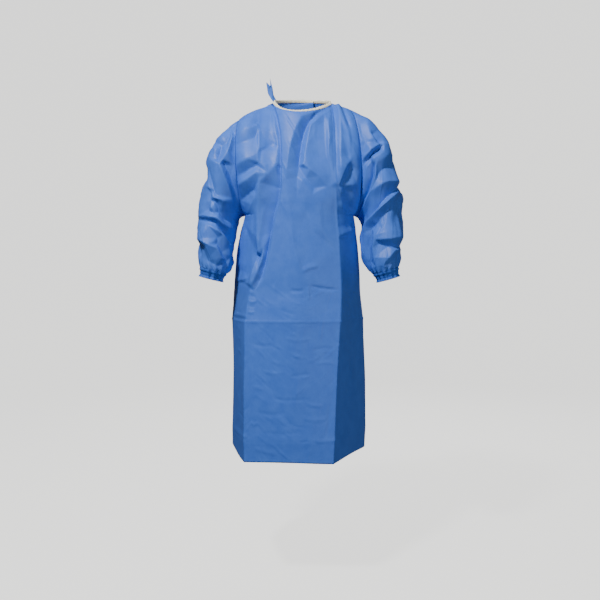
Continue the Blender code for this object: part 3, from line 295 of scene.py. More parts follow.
# The creases of the chest and of each sleeve. Each is a line of places: across, height, and how
# far the cloth lifts. Flat facets join them, as in stiff cloth that is pulled between its creases.
CHEST_CREASES = (
    ((-0.088, -0.010, -0.0042), (-0.077, -0.051, -0.0056), (-0.069, -0.096, -0.0070),
        (-0.065, -0.154, -0.0070), (-0.065, -0.203, -0.0098), (-0.066, -0.278, -0.0140),
        (-0.073, -0.319, -0.0154), (-0.086, -0.360, -0.0154), (-0.098, -0.422, -0.0154),
        (-0.109, -0.484, -0.0140), (-0.118, -0.533, -0.0098), (-0.129, -0.575, -0.0056),
        (-0.152, -0.620, -0.0014)),
    ((-0.082, -0.009, 0.0014), (-0.070, -0.050, 0.0028), (-0.062, -0.096, 0.0028),
        (-0.059, -0.154, 0.0028), (-0.058, -0.203, 0.0042), (-0.059, -0.278, 0.0056),
        (-0.065, -0.321, 0.0056), (-0.077, -0.362, 0.0056), (-0.089, -0.424, 0.0056),
        (-0.100, -0.486, 0.0042), (-0.109, -0.536, 0.0028), (-0.121, -0.579, 0.0014)),
    ((-0.097, -0.014, 0.0014), (-0.085, -0.055, 0.0028), (-0.077, -0.098, 0.0028),
        (-0.073, -0.154, 0.0014)),
    ((-0.136, -0.014, 0.0028), (-0.137, -0.067, 0.0028)),
    ((-0.137, -0.088, 0.0028), (-0.137, -0.154, 0.0042), (-0.136, -0.195, 0.0042)),
    ((-0.136, -0.261, 0.0056), (-0.134, -0.319, 0.0056), (-0.137, -0.381, 0.0056),
        (-0.139, -0.443, 0.0042), (-0.140, -0.486, 0.0028)),
    ((-0.133, -0.241, 0.0056), (-0.105, -0.233, 0.0084), (-0.081, -0.209, 0.0084),
        (-0.070, -0.201, 0.0042)),
    ((-0.130, -0.156, -0.0028), (-0.101, -0.138, -0.0056), (-0.080, -0.127, -0.0042)),
    ((-0.216, -0.113, 0.0042), (-0.206, -0.107, 0.0056), (-0.179, -0.087, 0.0098),
        (-0.142, -0.074, 0.0084)),
    ((-0.216, -0.137, -0.0042), (-0.187, -0.125, -0.0042), (-0.146, -0.109, -0.0042)),
    ((-0.224, -0.220, 0.0042), (-0.206, -0.203, 0.0084), (-0.175, -0.184, 0.0098),
        (-0.142, -0.167, 0.0070)),
    ((-0.224, -0.253, -0.0056), (-0.206, -0.238, -0.0070), (-0.175, -0.220, -0.0084),
        (-0.142, -0.203, -0.0056)),
    ((-0.224, -0.282, 0.0056), (-0.206, -0.270, 0.0070), (-0.179, -0.253, 0.0084),
        (-0.146, -0.228, 0.0070)),
    ((-0.216, -0.331, -0.0056), (-0.199, -0.321, -0.0070), (-0.175, -0.303, -0.0084),
        (-0.152, -0.284, -0.0070), (-0.142, -0.261, -0.0028)),
    ((-0.142, -0.302, 0.0070), (-0.156, -0.331, 0.0084), (-0.171, -0.368, 0.0070),
        (-0.183, -0.393, 0.0042)),
    ((-0.146, -0.498, -0.0084), (-0.137, -0.504, -0.0098), (-0.127, -0.497, -0.0070)),
    ((-0.121, -0.476, 0.0000), (-0.126, -0.517, 0.0070), (-0.140, -0.558, 0.0084),
        (-0.158, -0.599, 0.0042)),
    ((-0.175, -0.575, -0.0042), (-0.200, -0.583, -0.0042), (-0.220, -0.585, -0.0028)),
    ((0.040, -0.030, 0.0042), (0.007, -0.041, 0.0056), (-0.018, -0.092, 0.0070),
        (-0.034, -0.154, 0.0084), (-0.043, -0.220, 0.0070), (-0.047, -0.253, 0.0028)),
    ((0.060, -0.028, -0.0084), (0.033, -0.057, -0.0126), (0.019, -0.084, -0.0154),
        (0.007, -0.121, -0.0168), (0.001, -0.162, -0.0154), (-0.004, -0.203, -0.0126),
        (-0.010, -0.241, -0.0056)),
    ((0.079, -0.034, 0.0028), (0.056, -0.051, 0.0042), (0.033, -0.071, 0.0042),
        (0.028, -0.096, 0.0028), (0.022, -0.129, 0.0028), (0.016, -0.166, 0.0028),
        (0.012, -0.195, 0.0042)),
    ((0.007, -0.200, 0.0056), (0.031, -0.219, 0.0084), (0.064, -0.241, 0.0070),
        (0.089, -0.274, 0.0028)),
    ((0.019, -0.245, -0.0042), (0.048, -0.278, -0.0042)),
    ((0.079, -0.063, 0.0000), (0.083, -0.113, 0.0000), (0.089, -0.179, 0.0000)),
    ((0.093, -0.063, 0.0056), (0.097, -0.113, 0.0070), (0.094, -0.162, 0.0042)),
    ((-0.010, -0.302, -0.0042), (0.023, -0.360, -0.0042), (0.040, -0.418, -0.0028)),
    ((0.007, -0.253, 0.0014), (0.040, -0.302, 0.0028), (0.064, -0.360, 0.0042),
        (0.073, -0.422, 0.0028)),
    ((-0.043, -0.298, 0.0042), (-0.031, -0.360, 0.0042), (-0.018, -0.443, 0.0028),
        (0.007, -0.554, 0.0028)),
    ((0.106, -0.014, 0.0000), (0.111, -0.113, 0.0000), (0.113, -0.236, 0.0000),
        (0.116, -0.360, 0.0000), (0.118, -0.484, 0.0000), (0.122, -0.624, 0.0000)),
)
LEFT_SLEEVE_CREASES = (
    ((-0.388, -0.170, 0.0060), (-0.295, -0.183, 0.0075), (-0.265, -0.200, 0.0120),
        (-0.245, -0.257, 0.0120), (-0.226, -0.313, 0.0090)),
    ((-0.252, -0.197, -0.0090), (-0.227, -0.239, -0.0130), (-0.209, -0.287, -0.0130),
        (-0.202, -0.331, -0.0105), (-0.188, -0.371, -0.0075)),
    ((-0.224, -0.113, 0.0075), (-0.239, -0.160, 0.0090), (-0.254, -0.185, 0.0060)),
    ((-0.260, -0.137, -0.0060), (-0.267, -0.166, -0.0075), (-0.271, -0.186, -0.0045)),
    ((-0.207, -0.113, -0.0120), (-0.214, -0.154, -0.0105), (-0.217, -0.203, -0.0060),
        (-0.212, -0.245, -0.0015)),
    ((-0.301, -0.220, -0.0030), (-0.295, -0.253, -0.0060), (-0.285, -0.286, -0.0060),
        (-0.277, -0.302, -0.0045)),
    ((-0.278, -0.312, 0.0075), (-0.259, -0.320, 0.0105), (-0.234, -0.335, 0.0090),
        (-0.219, -0.340, 0.0045)),
    ((-0.279, -0.324, -0.0075), (-0.265, -0.355, -0.0130), (-0.243, -0.381, -0.0130),
        (-0.219, -0.395, -0.0105), (-0.195, -0.406, -0.0075)),
    ((-0.255, -0.340, 0.0), (-0.227, -0.360, 0.0015), (-0.200, -0.380, 0.0)),
    ((-0.338, -0.373, 0.0030), (-0.314, -0.371, 0.0060), (-0.289, -0.375, 0.0075),
        (-0.274, -0.380, 0.0090), (-0.259, -0.395, 0.0075), (-0.239, -0.410, 0.0060),
        (-0.200, -0.424, 0.0015)),
    ((-0.338, -0.385, -0.0060), (-0.314, -0.386, -0.0075), (-0.280, -0.392, -0.0105),
        (-0.260, -0.415, -0.0130), (-0.243, -0.439, -0.0130), (-0.223, -0.458, -0.0105),
        (-0.207, -0.466, -0.0075)),
    ((-0.301, -0.404, 0.0030), (-0.269, -0.422, 0.0075), (-0.254, -0.434, 0.0075),
        (-0.233, -0.470, 0.0075), (-0.233, -0.505, 0.0060), (-0.237, -0.538, 0.0015)),
    ((-0.271, -0.442, -0.0045), (-0.271, -0.463, -0.0060), (-0.255, -0.493, -0.0075),
        (-0.240, -0.521, -0.0060)),
    ((-0.388, -0.443, 0.0090), (-0.328, -0.449, 0.0105), (-0.301, -0.467, 0.0120),
        (-0.276, -0.478, 0.0090), (-0.260, -0.510, 0.0045)),
    ((-0.388, -0.480, -0.0075), (-0.325, -0.482, -0.0090), (-0.309, -0.519, -0.0105),
        (-0.270, -0.538, -0.0090), (-0.247, -0.544, -0.0045)),
    ((-0.388, -0.270, 0.0060), (-0.309, -0.274, 0.0075), (-0.298, -0.291, -0.0060),
        (-0.286, -0.309, 0.0045)),
    ((-0.388, -0.331, 0.0075), (-0.324, -0.333, 0.0075), (-0.305, -0.352, -0.0060),
        (-0.318, -0.362, 0.0015)),
    ((-0.297, -0.319, -0.0045), (-0.291, -0.344, 0.0045), (-0.285, -0.362, -0.0030)),
    ((-0.219, -0.488, -0.0045), (-0.223, -0.521, -0.0045)),
    ((-0.289, -0.125, 0.0060), (-0.278, -0.154, 0.0075), (-0.283, -0.170, 0.0045)),
    ((-0.247, -0.084, 0.0045), (-0.255, -0.113, 0.0075), (-0.264, -0.125, 0.0045)),
    ((-0.227, -0.080, -0.0045), (-0.235, -0.109, -0.0045), (-0.243, -0.129, -0.0045)),
)
RIGHT_SLEEVE_CREASES = (
    ((0.258, -0.148, -0.0130), (0.233, -0.170, -0.0130), (0.210, -0.195, -0.0130),
        (0.200, -0.220, -0.0120), (0.194, -0.253, -0.0105), (0.188, -0.290, -0.0130),
        (0.181, -0.331, -0.0120), (0.177, -0.373, -0.0090)),
    ((0.274, -0.137, 0.0090), (0.261, -0.138, 0.0090), (0.235, -0.156, 0.0090),
        (0.212, -0.179, 0.0090), (0.196, -0.195, 0.0045), (0.185, -0.220, 0.0015),
        (0.177, -0.253, 0.0015), (0.171, -0.294, 0.0030)),
    ((0.239, -0.181, 0.0060), (0.252, -0.195, 0.0075), (0.251, -0.236, 0.0105),
        (0.234, -0.294, 0.0105), (0.213, -0.335, 0.0075), (0.191, -0.371, 0.0030)),
    ((0.234, -0.192, -0.0030), (0.242, -0.208, -0.0120), (0.240, -0.236, -0.0130),
        (0.222, -0.294, -0.0130), (0.201, -0.335, -0.0120), (0.185, -0.362, -0.0090)),
    ((0.221, -0.208, 0.0030), (0.213, -0.257, 0.0045), (0.203, -0.302, 0.0030),
        (0.191, -0.340, 0.0)),
    ((0.274, -0.160, 0.0090), (0.293, -0.170, 0.0060), (0.311, -0.175, 0.0045),
        (0.380, -0.183, 0.0045)),
    ((0.258, -0.232, -0.0045), (0.269, -0.220, -0.0090), (0.289, -0.208, -0.0105),
        (0.314, -0.195, -0.0090), (0.380, -0.187, -0.0075)),
    ((0.253, -0.257, 0.0060), (0.280, -0.259, 0.0120), (0.321, -0.260, 0.0120),
        (0.380, -0.262, 0.0120)),
    ((0.380, -0.274, -0.0060), (0.325, -0.276, -0.0060), (0.297, -0.301, -0.0120),
        (0.272, -0.324, -0.0130), (0.250, -0.345, -0.0120), (0.224, -0.377, -0.0075),
        (0.204, -0.395, -0.0060)),
    ((0.380, -0.278, 0.0045), (0.327, -0.287, 0.0045), (0.301, -0.309, 0.0090),
        (0.276, -0.333, 0.0105), (0.256, -0.354, 0.0105), (0.231, -0.383, 0.0090),
        (0.213, -0.405, 0.0060), (0.200, -0.420, 0.0030)),
    ((0.380, -0.315, -0.0060), (0.324, -0.325, -0.0075), (0.293, -0.350, -0.0105),
        (0.264, -0.379, -0.0105), (0.252, -0.395, -0.0120), (0.239, -0.406, -0.0130),
        (0.230, -0.414, -0.0105)),
    ((0.248, -0.429, 0.0045), (0.280, -0.426, 0.0075), (0.305, -0.423, 0.0090),
        (0.334, -0.426, 0.0090), (0.380, -0.426, 0.0075)),
    ((0.252, -0.449, 0.0075), (0.289, -0.448, 0.0120), (0.330, -0.442, 0.0120),
        (0.380, -0.439, 0.0120)),
    ((0.260, -0.463, -0.0045), (0.289, -0.471, -0.0090), (0.324, -0.472, -0.0075),
        (0.380, -0.474, -0.0075)),
    ((0.247, -0.437, 0.0075), (0.243, -0.476, 0.0060), (0.246, -0.509, 0.0045),
        (0.254, -0.538, 0.0015)),
    ((0.233, -0.437, -0.0090), (0.225, -0.476, -0.0105), (0.233, -0.521, -0.0060)),
    ((0.208, -0.432, 0.0015), (0.207, -0.467, 0.0), (0.214, -0.509, 0.0)),
    ((0.380, -0.480, 0.0030), (0.314, -0.484, 0.0045), (0.293, -0.510, 0.0060),
        (0.274, -0.536, 0.0015)),
    ((0.380, -0.500, -0.0075), (0.325, -0.499, -0.0075), (0.303, -0.525, -0.0075),
        (0.291, -0.544, -0.0030)),
    ((0.177, -0.121, 0.0045), (0.188, -0.120, 0.0075), (0.196, -0.128, 0.0030)),
    ((0.174, -0.131, -0.0060), (0.186, -0.133, -0.0075), (0.194, -0.142, -0.0060),
        (0.204, -0.164, -0.0075), (0.207, -0.179, -0.0045)),
    ((0.219, -0.059, 0.0090), (0.229, -0.092, 0.0060), (0.243, -0.117, 0.0090),
        (0.252, -0.131, 0.0045)),
    ((0.198, -0.071, -0.0030), (0.204, -0.100, -0.0045), (0.217, -0.125, -0.0030)),
    ((0.252, -0.092, 0.0045), (0.268, -0.113, 0.0075), (0.274, -0.129, 0.0045),
        (0.289, -0.134, 0.0060), (0.380, -0.146, 0.0045)),
    ((0.239, -0.100, -0.0030), (0.258, -0.125, -0.0060), (0.264, -0.131, -0.0045)),
)
NET_MARGIN = 0.05
NET_ROUND = 0.0010
NET_CALM = 0.85
# The creases at each panel's front, and on a sleeve's back those of the other sleeve, turned over.
PANEL_CREASES = {
    "front": (CHEST_CREASES,),
    "sleeve_left": (LEFT_SLEEVE_CREASES, RIGHT_SLEEVE_CREASES),
    "sleeve_right": (RIGHT_SLEEVE_CREASES, LEFT_SLEEVE_CREASES),
}
BACK_FOLDS = (
    Fold(BACK, 0.0096, 0.016, (0.4, 0), ((-0.160, -0.080), (-0.135, -0.190), (-0.105, -0.300),
        (-0.080, -0.405))),
    Fold(BACK, -0.0112, 0.015, (0, 0), ((-0.125, -0.110), (-0.098, -0.220), (-0.078, -0.320),
        (-0.062, -0.410))),
    Fold(BACK, 0.0112, 0.018, (-0.4, 0), ((0.145, -0.070), (0.118, -0.180), (0.084, -0.300),
        (0.050, -0.405))),
    Fold(BACK, -0.0096, 0.014, (0, 0), ((0.108, -0.100), (0.082, -0.210), (0.050, -0.310),
        (0.024, -0.400))),
    Fold(BACK, 0.0064, 0.013, (0, 0), ((0.050, -0.050), (0.040, -0.150), (0.014, -0.260),
        (-0.004, -0.340))),
    Fold(BACK, -0.0064, 0.01, (0.3, 0), ((0.172, -0.150), (0.150, -0.250), (0.135, -0.330))),
    Fold(BACK, -0.008, 0.011, (-0.3, 0), ((-0.180, -0.170), (-0.160, -0.260), (-0.148, -0.330))),
    Fold(BACK, 0.0045, 0.006, (0, 0.4), ((-0.040, -0.434), (-0.080, -0.418), (-0.120, -0.412))),
    Fold(BACK, 0.0045, 0.006, (0, 0.4), ((0.022, -0.432), (0.065, -0.414), (0.118, -0.404))),
    Fold(BACK, -0.0112, 0.016, (0, 0), ((-0.150, -0.465), (-0.160, -0.640), (-0.163, -0.860))),
    Fold(BACK, 0.0096, 0.014, (0.4, 0), ((-0.115, -0.462), (-0.122, -0.620), (-0.118, -0.900))),
    Fold(BACK, -0.0128, 0.019, (0, 0), ((-0.052, -0.462), (-0.062, -0.640), (-0.072, -0.980))),
    Fold(BACK, 0.0112, 0.017, (-0.3, 0), ((-0.012, -0.470), (-0.018, -0.680), (-0.026, -1.050))),
    Fold(BACK, -0.0096, 0.015, (0, 0), ((0.030, -0.462), (0.044, -0.650), (0.058, -0.880))),
    Fold(BACK, 0.0112, 0.018, (0.3, 0), ((0.070, -0.460), (0.090, -0.640), (0.106, -1.020))),
    Fold(BACK, -0.0112, 0.015, (0, 0), ((0.118, -0.458), (0.138, -0.620), (0.148, -0.800))),
    Fold(BACK, -0.0048, 0.008, (0, 0), ((-0.094, -0.470), (-0.098, -0.560), (-0.094, -0.640))),
    Fold(BACK, 0.0048, 0.007, (0, 0), ((0.010, -0.475), (0.014, -0.540), (0.020, -0.600))),
    Fold(BACK, 0.0048, 0.01, (0.3, 0), ((-0.060, -1.136), (-0.064, -1.040), (-0.056, -0.960))),
    Fold(BACK, -0.0064, 0.012, (0, 0), ((0.080, -1.136), (0.076, -1.020), (0.084, -0.900))),
    Fold(BACK, 0.0075, 0.01, (0, -0.4), ((-0.206, -0.125), (-0.186, -0.105), (-0.160, -0.092))),
    Fold(BACK, 0.0064, 0.009, (0, -0.4), ((0.196, -0.100), (0.172, -0.084), (0.150, -0.076))),
    Fold(BACK, -0.0083, 0.011, (0.3, 0), ((-0.250, -0.180), (-0.215, -0.260), (-0.190, -0.330))),
    Fold(BACK, 0.0075, 0.01, (0, 0.4), ((-0.280, -0.240), (-0.244, -0.300), (-0.214, -0.375))),
    Fold(BACK, -0.0096, 0.013, (0, 0.3), ((-0.300, -0.360), (-0.255, -0.400), (-0.212, -0.460))),
    Fold(BACK, 0.0075, 0.01, (0, 0), ((-0.312, -0.400), (-0.272, -0.442), (-0.226, -0.500))),
    Fold(BACK, -0.006, 0.008, (0, 0), ((-0.306, -0.462), (-0.270, -0.490), (-0.236, -0.526))),
    Fold(BACK, -0.009, 0.012, (0.3, 0), ((0.245, -0.160), (0.212, -0.250), (0.192, -0.330))),
    Fold(BACK, 0.0075, 0.01, (0, 0.4), ((0.282, -0.215), (0.250, -0.290), (0.214, -0.370))),
    Fold(BACK, -0.0096, 0.013, (0, 0.3), ((0.300, -0.350), (0.255, -0.395), (0.214, -0.455))),
    Fold(BACK, 0.0067, 0.009, (0, 0), ((0.314, -0.395), (0.272, -0.440), (0.226, -0.498))),
    Fold(BACK, -0.006, 0.008, (0, 0), ((0.304, -0.455), (0.270, -0.486), (0.238, -0.528))),
)
FOLDS = (
    *CHEST_FOLDS, *WAIST_FOLDS, *SKIRT_FOLDS,
    *BACK_FOLDS,
)

# The level packing folds: the height of each, a broad tent, and a fine sharp line in it.
Packing = namedtuple("Packing", "height tent line")
PACKING_FOLDS = (
    Packing(-0.331, 0.0016, -0.0005), Packing(-0.710, 0.0026, 0.0009),
    Packing(-1.075, 0.0020, -0.0006),
)
PACKING_TENT_REACH = 0.032
PACKING_LINE_WIDTH = 0.0025
CHEST_BLEND = 0.05

# The upright packing folds of the front.
CREASE_HEIGHT = 0.0018
CREASE_WIDTH = 0.003

# The sections are rounded less at those two folds, and least in the skirt.
CreaseRound = namedtuple("CreaseRound", "height radius")
CREASE_ROUND = (
    CreaseRound(ARMPIT_Z, 0.080), CreaseRound(-0.480, 0.045), CreaseRound(-0.600, 0.018),
    CreaseRound(-0.710, 0.008), CreaseRound(HEM_Z, 0.006),
)

# Small creases at random places, always the same: how many lie in a part of a panel (shares
# of its width and length), which way they run in degrees, and how large they are in metres.
Crumple = namedtuple(
    "Crumple", "panel seed count left right top bottom slope spread length height width"
)
CRUMPLES = (
    Crumple("front", 3, 70, 0.05, 0.95, 0.03, 0.33, -50, 40, 0.050, 0.0009, 0.0040),
    Crumple("front", 5, 60, 0.0, 0.22, 0.35, 0.60, 60, 45, 0.040, 0.0012, 0.0035),
    Crumple("front", 7, 420, 0.20, 0.80, 0.48, 0.99, 0, 11, 0.045, 0.0005, 0.0022),
    Crumple("front", 8, 40, 0.03, 0.97, 0.50, 0.98, 84, 10, 0.110, 0.0006, 0.0040),
    Crumple("back_left", 13, 90, 0.03, 0.97, 0.04, 0.97, 75, 30, 0.070, 0.0009, 0.0042),
    Crumple("back_right", 17, 110, 0.03, 0.97, 0.04, 0.97, 100, 30, 0.070, 0.0009, 0.0042),
    Crumple("sleeve_left", 19, 150, 0.0, 1.0, 0.04, 0.96, 30, 40, 0.050, 0.0011, 0.0036),
    Crumple("sleeve_right", 23, 150, 0.0, 1.0, 0.04, 0.96, -30, 40, 0.050, 0.0011, 0.0036),
)

# The cloth's flat facets: the size of a facet, how much longer it is than wide, which way the
# long ones run in degrees, their height, and the part of the panel's length where they lie.
Facet = namedtuple("Facet", "panel seed size stretch slope height top bottom fade")
FACETS = (
    Facet("sleeve_left", 101, 0.052, 1.9, 35, 0.0140, 0.02, 0.96, 0.08),
    Facet("sleeve_left", 111, 0.024, 1.8, 60, 0.0045, 0.02, 0.98, 0.05),
    Facet("sleeve_right", 121, 0.052, 1.9, -35, 0.0140, 0.02, 0.96, 0.08),
    Facet("sleeve_right", 131, 0.024, 1.8, -60, 0.0045, 0.02, 0.98, 0.05),
    Facet("front", 141, 0.045, 2.2, -70, 0.0045, 0.0, 0.36, 0.10),
    Facet("front", 151, 0.022, 1.8, -60, 0.0018, 0.0, 0.45, 0.10),
    Facet("front", 161, 0.075, 2.6, -85, 0.0022, 0.30, 1.05, 0.12),
    Facet("back_left", 171, 0.050, 2.4, 80, 0.0032, 0.0, 1.05, 0.04),
    Facet("back_left", 181, 0.022, 2.0, 70, 0.0010, 0.0, 1.05, 0.04),
    Facet("back_right", 191, 0.050, 2.4, -80, 0.0032, 0.0, 1.05, 0.04),
    Facet("back_right", 201, 0.022, 2.0, -70, 0.0010, 0.0, 1.05, 0.04),
)
LATTICE = 64

# Where the chest's rows meet the level rows, the slope is made even over these rows.
SOFT_COLUMNS = 9
SOFT_ROWS = 22
SOFT_PASSES = 160

# The seams: which edges of a panel are sewn, the groove there, and the small puckers beside.
SEAMS = {
    "front": ("top", "first", "last"),
    "back_left": ("top", "first"),
    "back_right": ("top", "first"),
    "sleeve_left": ("top", "bottom"),
    "sleeve_right": ("top", "bottom"),
}
SEAM_GROOVE = 0.0009
SEAM_GROOVE_WIDTH = 0.003
PUCKER_PITCH = 0.011
PUCKER_HEIGHT = 0.0009
PUCKER_REACH = 0.010
SEAM_CALM = 0.015

# The folded hem down each free edge of the back.
EDGE_HEM = 0.012
HEM_STEP = 0.0006
HEM_STEP_RUN = 0.0015
HEM_GROOVE = 0.0004
HEM_GROOVE_WIDTH = 0.0012
LAP_OPENS_OVER = 12.0

# The gathered cuffs: their elastic rows lie at these shares of their length.
CUFF_LENGTH = 0.030
CUFF_WAVES = 14
CUFF_WAVE_HEIGHT = 0.0032
CUFF_SHRINK = (1.00, 0.95, 0.86, 0.84, 0.88)
CUFF_ROWS = 22
CUFF_CHANNELS = (0.38, 0.72)
CUFF_CHANNEL_WIDTH = 0.07
CUFF_CHANNEL_DEPTH = 0.0012
CUFF_BLEND = 0.25
GATHER_REACH = 0.017
GATHER_HEIGHT = 0.003

# The neck binding: its section as (outward, rise) in metres, its waviness and its stitches.
BINDING_SECTION = (
    (0.0012, -0.0014), (0.0017, -0.0002), (0.0019, 0.0030), (0.0018, 0.0060),
    (0.0013, 0.0082), (0.0002, 0.0091), (-0.0012, 0.0082), (-0.0018, 0.0060),
    (-0.0019, 0.0030), (-0.0018, 0.0), (-0.0014, -0.0014),
)
BINDING_SMOOTH = 6
BINDING_WAVE = 0.0005
BINDING_PITCH = 0.014
BINDING_STITCH = (0.0019, 0.0014)

# The neck tab.
TAB_WIDTH = 0.019
TAB_LENGTH = 0.068
TAB_LEAN = (-0.30, 0.10, 0.95)
TAB_THICK = 0.0009
TAB_OFF = 0.0026
TAB_ROWS = 48
TAB_COLUMNS = 15
TAB_SPLIT = 0.022
TAB_CUP = 0.0030
TAB_TWIST = 1.0

# The waist ties, their knot and their free ends.
TIE_WIDTH = 0.028
TIE_THICK = 0.0009
TIE_Z = -0.438
TIE_OFF = 0.0018
TIE_SEWN = (-0.172, 0.160)
TIE_STEP = 0.004
TIE_STEP_RUN = 0.030
TIE_STEP_CLEAR = 0.006
TIE_PINCH_RUN = 0.035
TIE_PINCHED = 0.4
TIE_COLUMNS = 13
TIE_STATIONS = 70
TIE_WAVE = 0.0005
KNOT_X = -0.010
KNOT_SIZE = (0.017, 0.0090, 0.018)
TIE_END_LENGTH = 0.24
TIE_END_CLEAR = 0.0025
TIE_END_LIFT = 0.004
TIE_END_SPREAD_RUN = 0.05
TIE_END_NARROW = 0.35
TIE_END_FROM_MIDDLE = (0.006, 0.018)
TIE_END_LEANS = (("tie_end_left", -1.0, -0.10), ("tie_end_right", 1.0, 0.12))
TIE_END_ROWS = 60
TIE_END_CUT = 0.006

# Colours, as they look.
CLOTH_LIGHT = "#4878DA"
CLOTH_DARK = "#3F6ED0"
# The cuff's two colours are the cloth's blue painted darker: painted shade among the close gathers.
CUFF_SHADED_LIGHT = "#3A6CCB"
CUFF_SHADED_DARK = "#2A58B4"
TIE_LIGHT = "#4A7CD6"
TIE_DARK = "#3A69C4"
TAPE_LIGHT = "#FFFAE2"
TAPE_DARK = "#FAF0CC"
THREAD_BLUE = "#2E5EBC"
THREAD_BLUE_DARK = "#244C9E"
THREAD_CREAM = "#F7F1DC"
THREAD_CREAM_DARK = "#E6DDC2"
FLOOR_COLOUR = "#F4F4F2"
FLOOR_SHADE = "#8E8E8C"
FLOOR_GLOW = 1.65
STAGE_FLAT = 4.0
STAGE_BEND = 1.6
STAGE_TOP = 4.5


def unit(vectors):
    """The same vectors at length one."""
    return vectors / np.maximum(np.linalg.norm(vectors, axis=-1, keepdims=True), 1e-12)


def curve_at(places, table_places, values):
    """A smooth curve through the table's values, read at some places."""
    table_places = np.asarray(table_places, float)
    values = np.asarray(values, float)
    places = np.clip(np.asarray(places, float), table_places[0], table_places[-1])
    slopes = np.gradient(values, table_places, axis=0)
    i = np.clip(np.searchsorted(table_places, places, side="right") - 1, 0, len(table_places) - 2)
    step = table_places[i + 1] - table_places[i]
    t = (places - table_places[i]) / step
    if values.ndim == 2:
        t = t[..., None]
        step = step[..., None]
    start = values[i] * (2 * t**3 - 3 * t**2 + 1) + slopes[i] * step * (t**3 - 2 * t**2 + t)
    end = values[i + 1] * (3 * t**2 - 2 * t**3) + slopes[i + 1] * step * (t**3 - t**2)
    return start + end


def by_height(rows, name, height):
    """A named column of a table, read at a height. The table runs downward."""
    depths = [-row.height for row in rows]
    return curve_at(-height, depths, [getattr(row, name) for row in rows])


def lengths_along(points):
    """The distance from the first point to each point, along the line."""
    steps = np.linalg.norm(np.diff(points, axis=0), axis=1)
    return np.concatenate([[0.0], np.cumsum(steps)])


def walk(points, places):
    """Points at given distances along a line."""
    along = lengths_along(points)
    return np.stack([np.interp(places, along, points[:, k]) for k in range(3)], axis=1)


def even(points, count):
    """The line again, as points evenly apart."""
    return walk(points, np.linspace(0.0, lengths_along(points)[-1], count))


def smooth_line(points, count=160):
    """A smooth line through a few points, as many points evenly apart."""
    points = np.array(points, float)
    along = lengths_along(points)
    return even(curve_at(np.linspace(0.0, along[-1], 400), along, points), count)


def body_corners(height):
    """The corners of the body's level section, from the left side round the front."""
    read = {name: float(by_height(BODY, name, height)) for name in Section._fields[1:]}
    middle = 0.5 * (read["crease_l"] + read["crease_r"])
    corners = (
        (read["left"], read["side_y"]),
        (read["crease_l"], read["crease_l_y"]),
        (middle, read["front_y"]),
        (read["crease_r"], read["crease_r_y"]),
        (read["right"], read["side_y"]),
        (read["right"] - BACK_CORNER_IN, read["back_y"]),
        (0.0, read["back_y"] + BACK_BULGE),
        (read["left"] + BACK_CORNER_IN, read["back_y"]),
    )
    return np.array(corners), read["rounding"]


@lru_cache(maxsize=None)
def body_section(height):
    """The level section as a closed line. Its corners are rounded over a set length."""
    corners, rounding = body_corners(height)
    after = np.roll(corners, -1, axis=0)
    t = np.linspace(0.0, 1.0, SIDE_PLACES, endpoint=False)[None, :, None]
    ring = (corners[:, None] * (1 - t) + after[:, None] * t).reshape(-1, 2)
    spacing = np.linalg.norm(after - corners, axis=1).repeat(SIDE_PLACES) / SIDE_PLACES
    total = spacing.sum()
    centre = np.cumsum(spacing) - spacing
    smooth = np.empty_like(ring)
    crisp = by_height(CREASE_ROUND, "radius", height)
    for i, place in enumerate(centre):
        apart = np.abs(centre - place)
        apart = np.minimum(apart, total - apart)
        reach = min(rounding, crisp + min(apart[SIDE_PLACES], apart[3 * SIDE_PLACES]))
        weight = np.clip(1.0 - apart / reach, 0.0, None) * spacing
        smooth[i] = (ring * weight[:, None]).sum(axis=0) / weight.sum()
    for corner in (0, 4):
        side = corners[corner, 0]
        share = np.clip(smooth[:, 0] / side, 0.0, None)
        share = share / share.max()
        smooth[:, 0] *= 1.0 + (side / (side * (smooth[:, 0] / side).max()) - 1.0) * share**2
    return smooth


def half_section(height, back):
    """The front or back half of a section, between the side seams, left to right."""
    ring = body_section(height)
    fade = np.clip((ARMPIT_Z - height) / SEAM_BEHIND_OVER, 0.0, 1.0)
    behind = int(round(SEAM_BEHIND * fade * SIDE_PLACES))
    left = -behind
    right = 4 * SIDE_PLACES + behind
    if back:
        index = np.arange(left, right - len(ring) - 1, -1)
    else:
        index = np.arange(left, right + 1)
    flat = ring[index % len(ring)]
    return np.column_stack([flat, np.full(len(flat), height)])


def armhole_line(tip, pit, armhole, back):
    """The armhole's points from the shoulder tip down to the armpit."""
    angle = np.linspace(0.0, np.pi, ARMHOLE_ROWS + 1)
    down = ((1 - np.cos(angle)) / 2)[:, None]
    points = np.array(tip) * (1 - down) + np.array(pit) * down
    bow = armhole.bow_back if back else armhole.bow_front
    reach = armhole.backward if back else -armhole.forward
    points[:, 0] += bow * np.sin(angle)
    points[:, 1] += reach * np.sin(angle)
    return points


def upper_row(top, low, row, back):
    """A row above the armpit, between the top edge and the armpit's section."""
    count = len(top)
    s = np.linspace(0.0, 1.0, count)
    angle = row * np.pi / ARMHOLE_ROWS
    at_edge = (1 - np.cos(angle)) / 2
    inward = np.clip(np.minimum(s, 1 - s) / EDGE_REACH, 0.0, 1.0)
    inward = inward * inward * (3 - 2 * inward)
    v = at_edge * (1 - inward) + row / ARMHOLE_ROWS * inward
    forward = np.sin(v * np.pi / 2) ** (1.0 if back else CHEST_FULLNESS)
    points = top * (1 - v[:, None]) + low * v[:, None]
    points[:, 1] = top[:, 1] * (1 - forward) + low[:, 1] * forward
    return points


